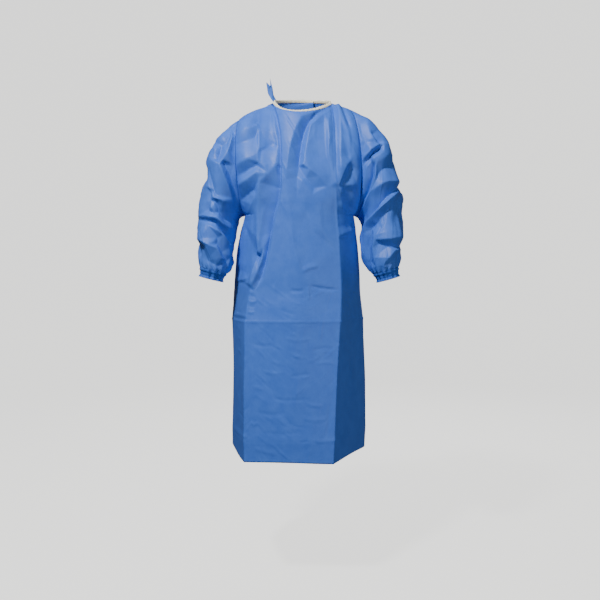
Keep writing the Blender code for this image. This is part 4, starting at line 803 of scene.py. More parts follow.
def hold_edge(points, target, reach, at_end):
    """Moves one end of a row to a seam point, and the points near it by less and less."""
    s = np.linspace(0.0, 1.0, len(points))
    if at_end:
        s = 1.0 - s
    weight = np.clip(1.0 - s / reach, 0.0, 1.0)
    weight = weight * weight * (3 - 2 * weight)
    end = points[-1] if at_end else points[0]
    return points + weight[:, None] * (np.array(target) - end)


def between(points, stops, counts):
    """Points along a line, evenly spaced between each pair of stops (given as distances)."""
    places = [stops[0]]
    for start, end, count in zip(stops, stops[1:], counts):
        places.extend(np.linspace(start, end, count + 1)[1:])
    return walk(points, np.array(places))


def distance_at_x(points, x):
    """How far along a line, running left to right, it reaches x."""
    return float(np.interp(x, points[:, 0], lengths_along(points)))


def front_stops(points, height, row):
    """The distances of the front's named columns along a row."""
    share = min(row / ARMHOLE_ROWS, 1.0)
    crease_l = by_height(BODY, "crease_l", height)
    crease_r = by_height(BODY, "crease_r", height)
    left = LEFT_CREASE_TOP * (1 - share) + crease_l * share
    right = RIGHT_CREASE_TOP * (1 - share) + crease_r * share
    drape = by_height(DRAPE_COLUMN, "x", height)
    end = lengths_along(points)[-1]
    centre = (drape + right) / 4
    inner = [distance_at_x(points, x) for x in (left, drape, centre, right)]
    return [0.0, *inner, end]


def lap_share(x):
    """How fully the space between the two halves of the back opens at x."""
    share = np.clip(1.0 - np.abs(x) / LAP_FADE, 0.0, 1.0)
    return share * share * (3 - 2 * share)


def back_row(height, edge, left):
    """A level row of one half of the back, from its side seam to its free edge."""
    line = half_section(height, True)
    if not left:
        line = line[::-1]
    sign = 1.0 if left else -1.0
    order = sign * line[:, 0]
    line = line[order <= sign * edge]
    space = by_height(LAP_SPACE, "width", height)
    line[:, 1] += lap_share(line[:, 0]) * (-space if left else space) / 2
    return line


def face_corners(rows, columns, closed):
    """The corners of each square of a grid, counted along its rows."""
    index = np.arange(rows * columns).reshape(rows, columns)
    if closed:
        index = np.column_stack([index, index[:, 0]])
    corners = (index[:-1, :-1], index[1:, :-1], index[1:, 1:], index[:-1, 1:])
    return np.stack([c.ravel() for c in corners], axis=1)


def shared_normals(panels):
    """The outward direction at each point, the same for the points that panels share."""
    points = np.concatenate([panel.grid.reshape(-1, 3) for panel in panels.values()])
    _, merged = np.unique(np.round(points, 6), axis=0, return_inverse=True)
    merged = merged.ravel()
    total = np.zeros((merged.max() + 1, 3))
    start = 0
    for panel in panels.values():
        rows, columns = panel.grid.shape[:2]
        faces = face_corners(rows, columns, panel.closed) + start
        across = points[faces[:, 2]] - points[faces[:, 0]]
        other = points[faces[:, 3]] - points[faces[:, 1]]
        direction = np.cross(across, other) * (-1.0 if panel.flip else 1.0)
        for corner in range(4):
            np.add.at(total, merged[faces[:, corner]], direction)
        start += rows * columns
    return unit(total)[merged]


def line_directions(points, closed):
    """The direction of a line at each of its points."""
    if closed:
        return unit(np.roll(points, -1, axis=0) - np.roll(points, 1, axis=0))
    return unit(np.gradient(points, axis=0))


def ease(share):
    """A share from 0 to 1, eased at both ends."""
    share = np.clip(share, 0.0, 1.0)
    return share * share * (3 - 2 * share)


def make_front():
    """The front panel's grid, from side seam to side seam."""
    counts = [count * ACROSS for count in (*LEFT_SHOULDER, *FRONT_MIDDLE, RIGHT_SHOULDER)]
    top = np.concatenate(
        [smooth_line(SHOULDER_LEFT), smooth_line(NECK_FRONT)[1:], smooth_line(SHOULDER_RIGHT)[1:]]
    )
    low = half_section(ARMPIT_Z, False)
    top_even = even(top, 4 * SIDE_PLACES)
    low_even = even(low, 4 * SIDE_PLACES)
    left_hole = armhole_line(top[0], low[0], ARMHOLE_LEFT, False)
    right_hole = armhole_line(top[-1], low[-1], ARMHOLE_RIGHT, False)
    rows = [between(top, front_stops(top, 0.0, 0), counts)]
    for row in range(1, ARMHOLE_ROWS):
        line = upper_row(top_even, low_even, row, False)
        line = hold_edge(line, left_hole[row], FRONT_HOLD, False)
        line = hold_edge(line, right_hole[row], FRONT_HOLD, True)
        height = line[len(line) // 2, 2]
        rows.append(between(line, front_stops(line, height, row), counts))
    for height in np.linspace(ARMPIT_Z, HEM_Z, SKIRT_ROWS + 1):
        line = half_section(height, False)
        rows.append(between(line, front_stops(line, height, ARMHOLE_ROWS), counts))
    return np.array(rows)


def back_half(front, left):
    """One half of the back. Its first column is the side seam and its last is the free edge."""
    if left:
        shoulder = front[0, : sum(LEFT_SHOULDER) * ACROSS + 1]
        neck, hole, neck_count = NECK_BACK_LEFT, ARMHOLE_LEFT, LEFT_NECK * BACK_ACROSS
        edge = LAP_LEFT
        seam = front[:, 0]
    else:
        shoulder = front[0, ::-1][: RIGHT_SHOULDER * ACROSS + 1]
        neck, hole, neck_count = NECK_BACK_RIGHT, ARMHOLE_RIGHT, RIGHT_NECK * BACK_ACROSS
        edge = LAP_RIGHT
        seam = front[:, -1]
    top = np.concatenate([shoulder, even(smooth_line(neck), neck_count + 1)[1:]])
    columns = len(top)
    hole_line = armhole_line(seam[0], seam[ARMHOLE_ROWS], hole, True)
    low = even(back_row(ARMPIT_Z, edge, left), columns)
    rows = [top]
    for row in range(1, ARMHOLE_ROWS):
        line = upper_row(top, low, row, True)
        rows.append(hold_edge(line, hole_line[row], BACK_HOLD, False))
    for height in np.linspace(ARMPIT_Z, HEM_Z, SKIRT_ROWS + 1):
        rows.append(even(back_row(height, edge, left), columns))
    grid = np.array(rows)
    grid[ARMHOLE_ROWS:, 0] = seam[ARMHOLE_ROWS:]
    down = np.arange(ARMHOLE_ROWS + 1)[:, None] / ARMHOLE_ROWS
    upper = grid[: ARMHOLE_ROWS + 1]
    open_share = ease(down * LAP_OPENS_OVER) * (1 - down) * lap_share(upper[..., 0])
    upper[..., 1] += (-0.5 if left else 0.5) * LAP_SPACE_UPPER * open_share
    return grid


def sleeve(front, back, rings, right):
    """A sleeve's grid. Its first ring is the armhole, round the front and up the back."""
    column = -1 if right else 0
    front_edge = front[: ARMHOLE_ROWS + 1, column]
    back_edge = back[1:ARMHOLE_ROWS, 0][::-1]
    coarse = [np.concatenate([front_edge, back_edge])]
    angle = np.arange(RING_COLUMNS) * np.pi / ARMHOLE_ROWS
    for ring in rings:
        outer = np.array([ring.outer_x, ring.mid_y, ring.outer_z])
        inner = np.array([ring.inner_x, ring.mid_y, ring.inner_z])
        points = (outer + inner) / 2 + np.cos(angle)[:, None] * (outer - inner) / 2
        points[:, 1] -= ring.depth * np.sin(angle)
        points[:, 0] += ring.bow * np.abs(np.sin(angle))
        coarse.append(points)
    coarse = np.array(coarse)
    places = np.linspace(0.0, len(coarse) - 1.0, SLEEVE_ROWS + 1)
    grid = curve_at(places, np.arange(len(coarse)), coarse.reshape(len(coarse), -1))
    return grid.reshape(SLEEVE_ROWS + 1, RING_COLUMNS, 3)


def soften_chest(grid, both):
    """The grid with its slope made even where the chest's rows meet the level rows below."""
    rows, columns = grid.shape[:2]
    place = np.arange(columns)
    apart = np.minimum(place, columns - 1 - place) if both else place
    held = ease(apart / SOFT_COLUMNS)[None]
    near = ease(2.0 - np.abs(np.arange(1, rows - 1) - ARMHOLE_ROWS) / SOFT_ROWS)[:, None]
    soft = grid.copy()
    for _ in range(SOFT_PASSES):
        mean = (soft[:-2, :, 1] + 2 * soft[1:-1, :, 1] + soft[2:, :, 1]) / 4
        soft[1:-1, :, 1] += near * held * (mean - soft[1:-1, :, 1])
    return soft


def lift_hem(grid):
    """The grid with the lowest part of the skirt lifted or dropped where the hem is uneven."""
    share = np.clip((HEM_LIFT_TOP - grid[..., 2]) / (HEM_LIFT_TOP - HEM_Z), 0.0, 1.0) ** 2
    lifted = grid.copy()
    for lift in HEM_LIFTS:
        apart = (grid[..., 0] - lift.x) ** 2 + (grid[..., 1] - lift.y) ** 2
        lifted[..., 2] += lift.height * share * np.exp(-apart / lift.reach**2)
    return lifted


def on_picture(points, side):
    """Where points show, in metres on the plane of the shoulders, seen from the front or back."""
    scale = 1.0 + points[:, 1] / -CAMERA_PLACE[1] * -side
    height = (points[:, 2] - CAMERA_PLACE[2]) / scale + CAMERA_PLACE[2]
    return np.stack([points[:, 0] / scale, height], axis=1)


def tent(apart, reach):
    """A straight-sided fold: one at its line, nothing beyond its reach, its top barely rounded."""
    share = 1.0 - np.sqrt((apart / reach) ** 2 + TENT_ROUND**2)
    return 0.5 * (share + np.sqrt(share**2 + TENT_FOOT**2)) - 0.5 * TENT_FOOT


def fold_profile(seen, fold):
    """The share of a fold's height at each place, from its path, its width and its steep side."""
    path = np.array(fold.path)
    along = lengths_along(path)
    if len(path) > 2:
        path = curve_at(np.linspace(0.0, along[-1], PATH_PLACES), along, path)
        along = lengths_along(path)
    best = np.full(len(seen), np.inf)
    lean = np.zeros(len(seen))
    place = np.zeros(len(seen))
    steep = np.array(fold.steep)
    for k, (start, end) in enumerate(zip(path, path[1:])):
        step = end - start
        t = np.clip((seen - start) @ step / (step @ step), 0.0, 1.0)
        apart = seen - start - t[:, None] * step
        distance = np.linalg.norm(apart, axis=1)
        nearer = distance < best
        best = np.where(nearer, distance, best)
        square = np.array([step[1], -step[0]]) / np.linalg.norm(step)
        side = np.tanh(apart @ square / (fold.width / 4)) * (square @ steep)
        lean = np.where(nearer, side, lean)
        place = np.where(nearer, (along[k] + t * (along[k + 1] - along[k])) / along[-1], place)
    fade = np.ones(len(seen))
    for end, distance in ((path[0], place), (path[-1], 1.0 - place)):
        if HEM_EDGE < end[1] < NECK_EDGE:
            fade *= ease(0.15 + distance / END_FADE)
    return fade * tent(best, TENT_REACH * fold.width * (1.0 - lean) * (0.6 + 0.4 * fade))


def fold_lift(points, normals):
    """How far the listed folds lift the cloth at each point."""
    lift = np.zeros(len(points))
    seen = {side: on_picture(points, side) for side in (FRONT, BACK)}
    for fold in FOLDS:
        path = np.array(fold.path)
        reach = FOLD_REACH * fold.width
        places = seen[fold.side]
        near = np.all((places > path.min(axis=0) - reach) & (places < path.max(axis=0) + reach), 1)
        near &= fold.side * normals[:, 1] > 0
        facing = ease(fold.side * normals[near, 1] / FACING_FULL)
        lift[near] += fold.height * fold_profile(places[near], fold) * facing
    return lift


def crease_net(creases):
    """A net of flat facets that keeps every listed crease, with a flat margin round it."""
    rows = np.array([place for crease in creases for place in crease])
    ends = np.cumsum([len(crease) for crease in creases])
    edges = [(k, k + 1) for k in range(len(rows) - 1) if k + 1 not in ends]
    left, low = rows[:, :2].min(axis=0) - NET_MARGIN
    right, high = rows[:, :2].max(axis=0) + NET_MARGIN
    frame = [(left, low, 0.0), (right, low, 0.0), (right, high, 0.0), (left, high, 0.0)]
    rows = np.concatenate([rows, frame])
    places = [Vector(place) for place in rows[:, :2]]
    corners, _, faces, origins, _, _ = delaunay_2d_cdt(places, edges, [], 0, 1e-6, True)
    lifts = np.array([rows[origin[0], 2] for origin in origins])
    return np.array([tuple(corner) for corner in corners]), lifts, faces


def net_height(places, net):
    """The height of a crease net at each place."""
    corners, lifts, faces = net
    height = np.zeros(len(places))
    for face in faces:
        start = corners[face[0]]
        (ax, ay), (bx, by) = corners[face[1]] - start, corners[face[2]] - start
        x, y = (places - start).T
        area = ax * by - ay * bx
        u = (x * by - y * bx) / area
        v = (ax * y - ay * x) / area
        inside = (u >= 0) & (v >= 0) & (u + v <= 1)
        rise = u * (lifts[face[1]] - lifts[face[0]]) + v * (lifts[face[2]] - lifts[face[0]])
        height[inside] = (lifts[face[0]] + rise)[inside]
    return height


def net_lift(name, points, normals):
    """How far a panel's placed creases lift its cloth, and how much of the cloth they cover."""
    lift = np.zeros(len(points))
    cover = np.zeros(len(points))
    for side, creases, mirror in zip((FRONT, BACK), PANEL_CREASES.get(name, ()), (1, -1)):
        net = crease_net(creases)
        near = side * normals[:, 1] > 0
        places = on_picture(points[near], side) * (mirror, 1)
        height = net_height(places, net)
        for shift in ((NET_ROUND, 0), (-NET_ROUND, 0), (0, NET_ROUND), (0, -NET_ROUND)):
            height += net_height(places + shift, net)
        facing = ease(side * normals[near, 1] / FACING_FULL)
        lift[near] = height / 5 * facing
        inside = np.minimum(places - net[0].min(axis=0), net[0].max(axis=0) - places).min(axis=1)
        cover[near] = facing * ease(inside / NET_MARGIN)
    return lift, cover


def packing_lift(points):
    """How far the level packing folds lift the cloth at each point."""
    lift = np.zeros(len(points))
    on_body = (points[:, 0] > BODY_LEFT_LIMIT) & (points[:, 0] < BODY_RIGHT_LIMIT)
    below = np.clip((SKIRT_TOP - points[:, 2]) / SKIRT_BLEND, 0.0, 1.0)
    inside = np.maximum(below, ease((CHEST_HALF - np.abs(points[:, 0])) / CHEST_BLEND))
    for fold in PACKING_FOLDS:
        apart = np.abs(points[:, 2] - fold.height)
        wide = fold.tent * np.exp(-apart / PACKING_TENT_REACH)
        line = fold.line * np.exp(-((apart / PACKING_LINE_WIDTH) ** 2))
        lift += (wide + line) * on_body * inside
    return lift


def cloth_places(panel):
    """The distances across and down the cloth of a panel, at each of its points."""
    grid = panel.grid
    if panel.closed:
        grid = np.concatenate([grid, grid[:, :1]], axis=1)
    steps = np.linalg.norm(np.diff(grid, axis=1), axis=2)
    across = np.concatenate([np.zeros((len(grid), 1)), np.cumsum(steps, axis=1)], axis=1)
    if not panel.closed:
        across = across - across[:, -1:] / 2
    steps = np.linalg.norm(np.diff(grid, axis=0), axis=2)
    down = np.concatenate([np.zeros((1, grid.shape[1])), np.cumsum(steps, axis=0)])
    return across, down


def facets(across, down, row, shift):
    """Random heights on an uneven lattice, joined by flat triangles that meet in crisp creases."""
    dice = np.random.default_rng(row.seed + shift)
    heights = dice.uniform(-1.0, 1.0, (LATTICE, LATTICE))
    turned = dice.uniform(0.0, 1.0, (LATTICE, LATTICE)) < 0.5
    waves = dice.uniform(0.0, 2 * np.pi, 4)
    slope = np.radians(row.slope)
    p = (across * np.cos(slope) - down * np.sin(slope)) / (row.size * row.stretch)
    q = (across * np.sin(slope) + down * np.cos(slope)) / row.size
    p, q = (
        p + 0.30 * np.sin(1.7 * q + waves[0]) + 0.16 * np.sin(3.9 * q + waves[1]),
        q + 0.30 * np.sin(1.9 * p + waves[2]) + 0.16 * np.sin(4.3 * p + waves[3]),
    )
    i, j = np.floor(p).astype(int), np.floor(q).astype(int)
    a, b = p - i, q - j
    flip = turned[i % LATTICE, j % LATTICE]
    near, far = np.where(flip, i + 1, i) % LATTICE, np.where(flip, i, i + 1) % LATTICE
    a = np.where(flip, 1.0 - a, a)
    low, high = j % LATTICE, (j + 1) % LATTICE
    first, other = heights[near, low], heights[far, high]
    under = first + a * (heights[far, low] - first) + b * (other - heights[far, low])
    over = first + b * (heights[near, high] - first) + a * (other - heights[near, high])
    return np.where(a > b, under, over)


def facet_lift(name, panel, across, down):
    """How far the cloth's small flat facets lie above or below the panel."""
    lift = np.zeros(across.shape)
    share = (across - across[:, :1]) / (across[:, -1:] - across[:, :1])
    width = float((across[:, -1] - across[:, 0]).mean())
    depth = down / down[-1].max()
    for row in (row for row in FACETS if row.panel == name):
        place = share * width
        field = facets(place, down, row, 0)
        if panel.closed:
            turned = (share + 0.5) % 1.0 * width
            blend = np.sin(np.pi * share) ** 2
            field = field * blend + facets(turned, down, row, 1) * (1.0 - blend)
        window = ease((depth - row.top) / row.fade) * ease((row.bottom - depth) / row.fade)
        lift += row.height * field * window
    return lift


def crumple_lift(name, panel, across, down):
    """Small creases laid on a panel at random places, always the same ones."""
    lift = np.zeros(across.shape)
    width = across[:, -1].max() - across[:, 0].min()
    for row in (row for row in CRUMPLES if row.panel == name):
        dice = np.random.default_rng(row.seed)
        for _ in range(row.count):
            u = across[:, 0].min() + dice.uniform(row.left, row.right) * width
            v = dice.uniform(row.top, row.bottom) * down.max()
            angle = np.radians(dice.normal(row.slope, row.spread))
            half = 0.5 * row.length * dice.uniform(0.4, 1.6)
            wide = row.width * dice.uniform(0.6, 1.5)
            height = row.height * dice.normal(0.2, 1.0)
            step = np.array([np.cos(angle), -np.sin(angle)])
            reach = half + FOLD_REACH * wide
            near = (np.abs(across - u) < reach) & (np.abs(down - v) < reach)
            du, dv = across[near] - u, down[near] - v
            along = np.clip(du * step[0] + dv * step[1], -half, half)
            apart = np.hypot(du - along * step[0], dv - along * step[1])
            fade = 1.0 - (along / half) ** 2
            lift[near] += height * fade * tent(apart, TENT_REACH * wide)
    return lift


def seam_lift(panel, seams, across, down):
    """The groove and the small puckers along a panel's seams, and how far from seams each point is."""
    apart = np.full(across.shape, np.inf)
    lift = np.zeros(across.shape)
    groove = np.zeros(across.shape)
    lines = {
        "top": (down, across),
        "bottom": (down[-1:] - down, across),
        "first": (across - across[:, :1], down),
        "last": (across[:, -1:] - across, down),
    }
    for seam in seams:
        distance, along = lines[seam]
        apart = np.minimum(apart, distance)
        groove = np.maximum(groove, np.exp(-((distance / SEAM_GROOVE_WIDTH) ** 2)))
        wave = np.sin(along * 2 * np.pi / PUCKER_PITCH + 1.7 * np.sin(along / 0.023))
        near = 1.0 - np.exp(-((distance / SEAM_GROOVE_WIDTH) ** 2))
        lift += PUCKER_HEIGHT * wave * near * np.exp(-distance / PUCKER_REACH)
    return lift - SEAM_GROOVE * groove, apart


def gather_wave(angle):
    """The cuff's gathers round the wrist, uneven in width and depth."""
    drift = 0.55 * np.sin(2 * angle + 0.7) + 0.35 * np.sin(5 * angle)
    return np.cos(CUFF_WAVES * angle + drift) * (0.85 + 0.25 * np.sin(3 * angle + 2.0))


def sleeve_gathers(across, down):
    """The gathers that run up a sleeve from its cuff."""
    angle = np.arange(across.shape[1]) * 2 * np.pi / (across.shape[1] - 1)
    from_cuff = down[-1:] - down
    fine = gather_wave(angle)[None] * np.exp(-from_cuff / GATHER_REACH)
    coarse = np.cos(5 * angle + 1.0)[None] * np.exp(-from_cuff / (3 * GATHER_REACH))
    return GATHER_HEIGHT * (fine + 0.8 * coarse * (1 - np.exp(-from_cuff / GATHER_REACH)))


def crease_lift(across):
    """The raised lines of the front's two upright packing folds."""
    lift = np.zeros(across.shape)
    left = LEFT_SHOULDER[0] * ACROSS
    right = across.shape[1] - 1 - RIGHT_SHOULDER * ACROSS
    for column in (left, right):
        apart = np.abs(across - across[:, column : column + 1])
        lift += CREASE_HEIGHT * np.exp(-apart / CREASE_WIDTH)
    return lift


def edge_hem_lift(across):
    """The folded hem down the free edge of a back panel: a thicker strip and a sewn groove."""
    apart = across[:, -1:] - across
    strip = HEM_STEP * ease((EDGE_HEM - apart) / HEM_STEP_RUN)
    return strip - HEM_GROOVE * np.exp(-(((apart - EDGE_HEM) / HEM_GROOVE_WIDTH) ** 2))


Panel = namedtuple("Panel", "grid closed flip")


def with_folds(panels):
    """The panels again with their folds, and the outward directions at their points."""
    normals = shared_normals(panels)
    folded = {}
    start = 0
    for name, panel in panels.items():
        points = panel.grid.reshape(-1, 3)
        here = normals[start : start + len(points)]
        lift = (fold_lift(points, here) + packing_lift(points)).reshape(panel.grid.shape[:2])
        across, down = cloth_places(panel)
        seam, apart = seam_lift(panel, SEAMS[name], across, down)
        spare = ((0, 0), (0, across.shape[1] - lift.shape[1]))
        net, cover = (
            np.pad(part.reshape(lift.shape), spare, mode="wrap")
            for part in net_lift(name, points, here)
        )
        own = crumple_lift(name, panel, across, down) + net
        own += facet_lift(name, panel, across, down) * (1.0 - NET_CALM * cover)
        if name == "front":
            own += crease_lift(across)
        own *= 1 - np.exp(-apart / SEAM_CALM)
        own += seam
        if name.startswith("sleeve"):
            own += sleeve_gathers(across, down)
        if name.startswith("back"):
            own += edge_hem_lift(across)
        lift += own[:, : lift.shape[1]]
        grid = panel.grid + here.reshape(panel.grid.shape) * lift[..., None]
        folded[name] = Panel(grid, panel.closed, panel.flip)
        start += len(points)
    normals = shared_normals(folded)
    split = {}
    start = 0
    for name, panel in folded.items():
        count = panel.grid.shape[0] * panel.grid.shape[1]
        split[name] = normals[start : start + count].reshape(panel.grid.shape)
        start += count
    return folded, split


def add_object(name, points, faces, material, places=None):
    """A smooth mesh object with a material, and places on the cloth for its corners."""
    mesh = bpy.data.meshes.new(name)
    mesh.from_pydata(points.tolist(), [], faces.tolist())
    mesh.update()
    if places is not None:
        layer = mesh.uv_layers.new(name="cloth")
        layer.data.foreach_set("uv", places.reshape(-1).astype(np.float32))
    mesh.materials.append(material)
    mesh.shade_smooth()
    obj = bpy.data.objects.new(name, mesh)
    bpy.context.collection.objects.link(obj)
    return obj


def add_sheet(name, panel, material, thick):
    """A thin shell of cloth from a grid of points, its outer face on the grid."""
    rows, columns = panel.grid.shape[:2]
    across, down = cloth_places(panel)
    faces = face_corners(rows, columns, panel.closed)
    wide = np.arange(across.size).reshape(across.shape)
    corners = (wide[:-1, :-1], wide[1:, :-1], wide[1:, 1:], wide[:-1, 1:])
    corners = np.stack([c.ravel() for c in corners], axis=1)
    if panel.flip:
        faces, corners = faces[:, ::-1], corners[:, ::-1]
    places = np.stack([across.ravel(), down.ravel()], axis=1)[corners]
    obj = add_object(name, panel.grid.reshape(-1, 3), faces, material, places)
    shell = obj.modifiers.new("thickness", "SOLIDIFY")
    shell.thickness = thick
    shell.offset = -1.0
    return obj


def finish_piece(obj, slot, *nodes):
    """The piece rides with the gown and may replace solids, which it hides. The slot is not used."""
    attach(obj, "root")
    if nodes:
        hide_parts(*nodes)
    return obj


def stitches(name, line, out, material, pitch, length, radius):
    """A row of thread stitches that lie along a line, as one mesh."""
    total = lengths_along(line)[-1]
    starts = np.arange(0.5 * pitch, total - pitch, pitch)
    shape = ((0.0, 0.3, 0.0), (0.15, 1.0, 0.5), (0.5, 1.0, 0.8), (0.85, 1.0, 0.5), (1.0, 0.3, 0.0))
    points = []
    faces = []
    sides = 5
    turn = np.arange(sides) * 2 * np.pi / sides
    for start in starts:
        stations = walk(line, start + np.array([row[0] for row in shape]) * length)
        up = unit(walk_values(line, out, start + 0.5 * length))
        ahead = unit(stations[-1] - stations[0])
        beside = np.cross(ahead, up)
        base = len(points)
        for station, (_, share, rise) in zip(stations, shape):
            centre = station + up * radius * rise
            for a in turn:
                points.append(centre + share * radius * (np.cos(a) * beside + np.sin(a) * up))
        for k in range(len(shape) - 1):
            for s in range(sides):
                a, b = base + k * sides + s, base + k * sides + (s + 1) % sides
                faces.append((a, b, b + sides, a + sides))
    return add_object(name, np.array(points), np.array(faces), material)


def walk_values(line, values, place):
    """Values that belong to a line's points, read at a distance along it."""
    along = lengths_along(line)
    return np.array([np.interp(place, along, values[:, k]) for k in range(3)])


def make_cuff(sleeve_grid, right):
    """The gathered band below a sleeve, with two rows of elastic sewn through it."""
    last = sleeve_grid[-1]
    centre = last.mean(axis=0)
    span_x = last[0] - last[ARMHOLE_ROWS]
    across = unit(span_x)
    axis = unit(np.cross(across, (0.0, 1.0, 0.0)))
    if axis[2] > 0:
        axis = -axis
    half_wide = np.linalg.norm(span_x) / 2
    half_deep = np.ptp(last[:, 1]) / 2
    angle = np.arange(RING_COLUMNS) * 2 * np.pi / RING_COLUMNS
    wave = gather_wave(angle)
    places = np.linspace(0.0, 1.0, CUFF_ROWS)
    shrink = curve_at(places, np.linspace(0.0, 1.0, len(CUFF_SHRINK)), CUFF_SHRINK)
    rows = []
    for place, share in zip(places, shrink):
        channel = sum(np.exp(-(((place - row) / CUFF_CHANNEL_WIDTH) ** 2)) for row in CUFF_CHANNELS)
        lift = CUFF_WAVE_HEIGHT * wave * (0.75 + 0.25 * place) - CUFF_CHANNEL_DEPTH * channel
        wide = half_wide * share + lift
        deep = half_deep * share + lift
        row = centre + (np.cos(angle) * wide)[:, None] * across
        row = row - (np.sin(angle) * deep)[:, None] * np.array([0.0, 1.0, 0.0])
        blend = ease(place / CUFF_BLEND)
        rows.append(last * (1 - blend) + row * blend + axis * CUFF_LENGTH * place)
    return Panel(np.array(rows), True, right)


def neckline(folded, normals):
    """The neckline's points and directions, from the left back edge round the front."""
    first = sum(LEFT_SHOULDER) * ACROSS
    last = first + sum(FRONT_MIDDLE) * ACROSS
    right = RIGHT_SHOULDER * ACROSS
    points = []
    outward = []
    for source, put in ((folded, points), (normals, outward)):
        rows = [source[name] for name in ("back_left", "front", "back_right")]
        rows = [row.grid[0] if isinstance(row, Panel) else row[0] for row in rows]
        put += [rows[0][first:][::-1], rows[1][first : last + 1][1:], rows[2][right:][1:]]
    return np.concatenate(points), np.concatenate(outward)


def tape_along(name, path, outward, rise, section, material):
    """A closed tape swept along a path. The section's rows are (outward, rise) in metres."""
    section = np.array(section)
    count = len(section)
    grid = path[:, None] + outward[:, None] * section[None, :, :1] + rise[:, None] * section[None, :, 1:]
    faces = []
    for k in range(len(path) - 1):
        for s in range(count):
            a, b = k * count + s, k * count + (s + 1) % count
            faces.append((a, a + count, b + count, b))
    centre_first = grid[0].mean(axis=0)
    centre_last = grid[-1].mean(axis=0)
    points = np.concatenate([grid.reshape(-1, 3), [centre_first, centre_last]])
    total = len(path) * count
    start = total - count
    for s in range(count):
        t = (s + 1) % count
        faces.append((total, s, t))
        faces.append((total + 1, start + t, start + s))
    mesh = bpy.data.meshes.new(name)
    mesh.from_pydata(points.tolist(), [], faces)
    mesh.update()
    along = lengths_along(path)
    layer = mesh.uv_layers.new(name="cloth")
    where = np.array([loop.vertex_index for loop in mesh.loops])
    spot = np.minimum(where, total - 1)
    round_section = np.concatenate([[0.0], np.cumsum(np.linalg.norm(np.diff(section, axis=0), axis=1))])
    uv = np.stack([along[spot // count], round_section[spot % count]], axis=1)
    layer.data.foreach_set("uv", uv.ravel().astype(np.float32))
    mesh.materials.append(material)
    mesh.shade_smooth()
    obj = bpy.data.objects.new(name, mesh)
    bpy.context.collection.objects.link(obj)
    return obj


def make_binding(folded, normals, tape, thread):
    """The neck binding: a tape folded over the neckline's edge, topstitched near its lower edge."""
    path, outward = neckline(folded, normals)
    path = smooth_rows(path, BINDING_SMOOTH)
    outward = unit(smooth_rows(outward, BINDING_SMOOTH))
    rise = unit(np.cross(outward, line_directions(path, False)))
    along = lengths_along(path)
    wave = np.sin(along * 2 * np.pi / BINDING_PITCH + 1.3 * np.sin(along / 0.031))
    path = path + outward * (BINDING_WAVE * wave)[:, None]
    obj = tape_along("neck_binding_tape", path, outward, rise, BINDING_SECTION, tape)
    finish_piece(obj, "binding", "neck_binding")
    line = path + outward * BINDING_STITCH[0] + rise * BINDING_STITCH[1]
    sewn = stitches("binding_stitches", line, outward, thread, 0.0042, 0.0028, 0.00022)
    finish_piece(sewn, "binding")


def smooth_rows(values, passes):
    """Values along a line, each averaged with its neighbours several times."""
    values = values.copy()
    for _ in range(passes):
        values[1:-1] = (values[:-2] + 2 * values[1:-1] + values[2:]) / 4
    return values


def make_tab(folded, normals, material):
    """The neck tab: a folded tie whose free end stands beside the neck and is split at its tip."""
    points, outward = neckline(folded, normals)
    i = (LEFT_NECK - 1) * BACK_ACROSS
    along = unit(points[i + 3] - points[i - 3])
    out = unit(outward[i] * (1.0, 1.0, 0.0))
    lean = unit(np.array(TAB_LEAN))
    across = unit(along - (along @ lean) * lean)
    face = np.cross(across, lean)
    face *= np.sign(face @ out)
    base = points[i] + out * TAB_OFF
    rows = []
    for place in np.linspace(0.0, 1.0, TAB_ROWS):
        row = []
        turn = TAB_TWIST * ease(place / 0.5)
        beside = across * np.cos(turn) + face * np.sin(turn)
        for side in np.linspace(-1.0, 1.0, TAB_COLUMNS):
            split = TAB_SPLIT * ease((place - 0.7) / 0.3) * (0.35 - abs(side - 0.2))
            length = place * TAB_LENGTH - split
            cup = TAB_CUP * (side**2 - 0.5) * (0.3 + place) + 0.0016 * np.sin(9.0 * place + 2.0 * side)
            bow = 0.006 * np.sin(place * np.pi)
            narrow = 1.0 - 0.18 * np.sin(place * 2.6) ** 2
            row.append(base + lean * length + beside * side * narrow * TAB_WIDTH / 2 + face * (cup + bow))
        rows.append(row)
    panel = Panel(np.array(rows), False, bool(np.dot(np.cross(lean, across), out) < 0))
    obj = add_sheet("neck_tab_cloth", panel, material, TAB_THICK)
    finish_piece(obj, "tie", "neck_tab")


def row_at_height(grid, values, height):
    """The values (points or directions) of a grid, at a height between two of its rows."""
    heights = grid[:, 0, 2]
    i = int(np.searchsorted(-heights, -height)) - 1
    t = (heights[i] - height) / (heights[i] - heights[i + 1])
    return values[i] * (1 - t) + values[i + 1] * t


def on_back(folded, normals, name, x, height, clear):
    """A point above a back panel's outside at (x, height), and the direction out of it."""
    grid = folded[name].grid
    row = row_at_height(grid, grid, height)
    out = row_at_height(grid, normals[name], height)
    order = np.argsort(row[:, 0])
    point = np.array([np.interp(x, row[order, 0], row[order, k]) for k in range(3)])
    point[0] = x
    direction = unit(np.array([np.interp(x, row[order, 0], out[order, k]) for k in range(3)]))
    return point + direction * clear, direction


def tie_panel(folded, normals, places, flip):
    """A waist tie's grid. places are rows of (panel, x, how clear it lies, its half width)."""
    grid = []
    for side in np.linspace(1.0, -1.0, TIE_COLUMNS):
        line = []
        for k, (name, x, clear, half) in enumerate(places):
            point, out = on_back(folded, normals, name, x, TIE_Z + side * half, clear)
            wave = TIE_WAVE * np.sin(0.55 * k + 1.1 * side) * (0.4 + 0.6 * side * side)
            line.append(point + out * (wave + TIE_WAVE))
        grid.append(even(smooth_rows(np.array(line), 2), TIE_STATIONS))
    return Panel(np.array(grid), False, flip)


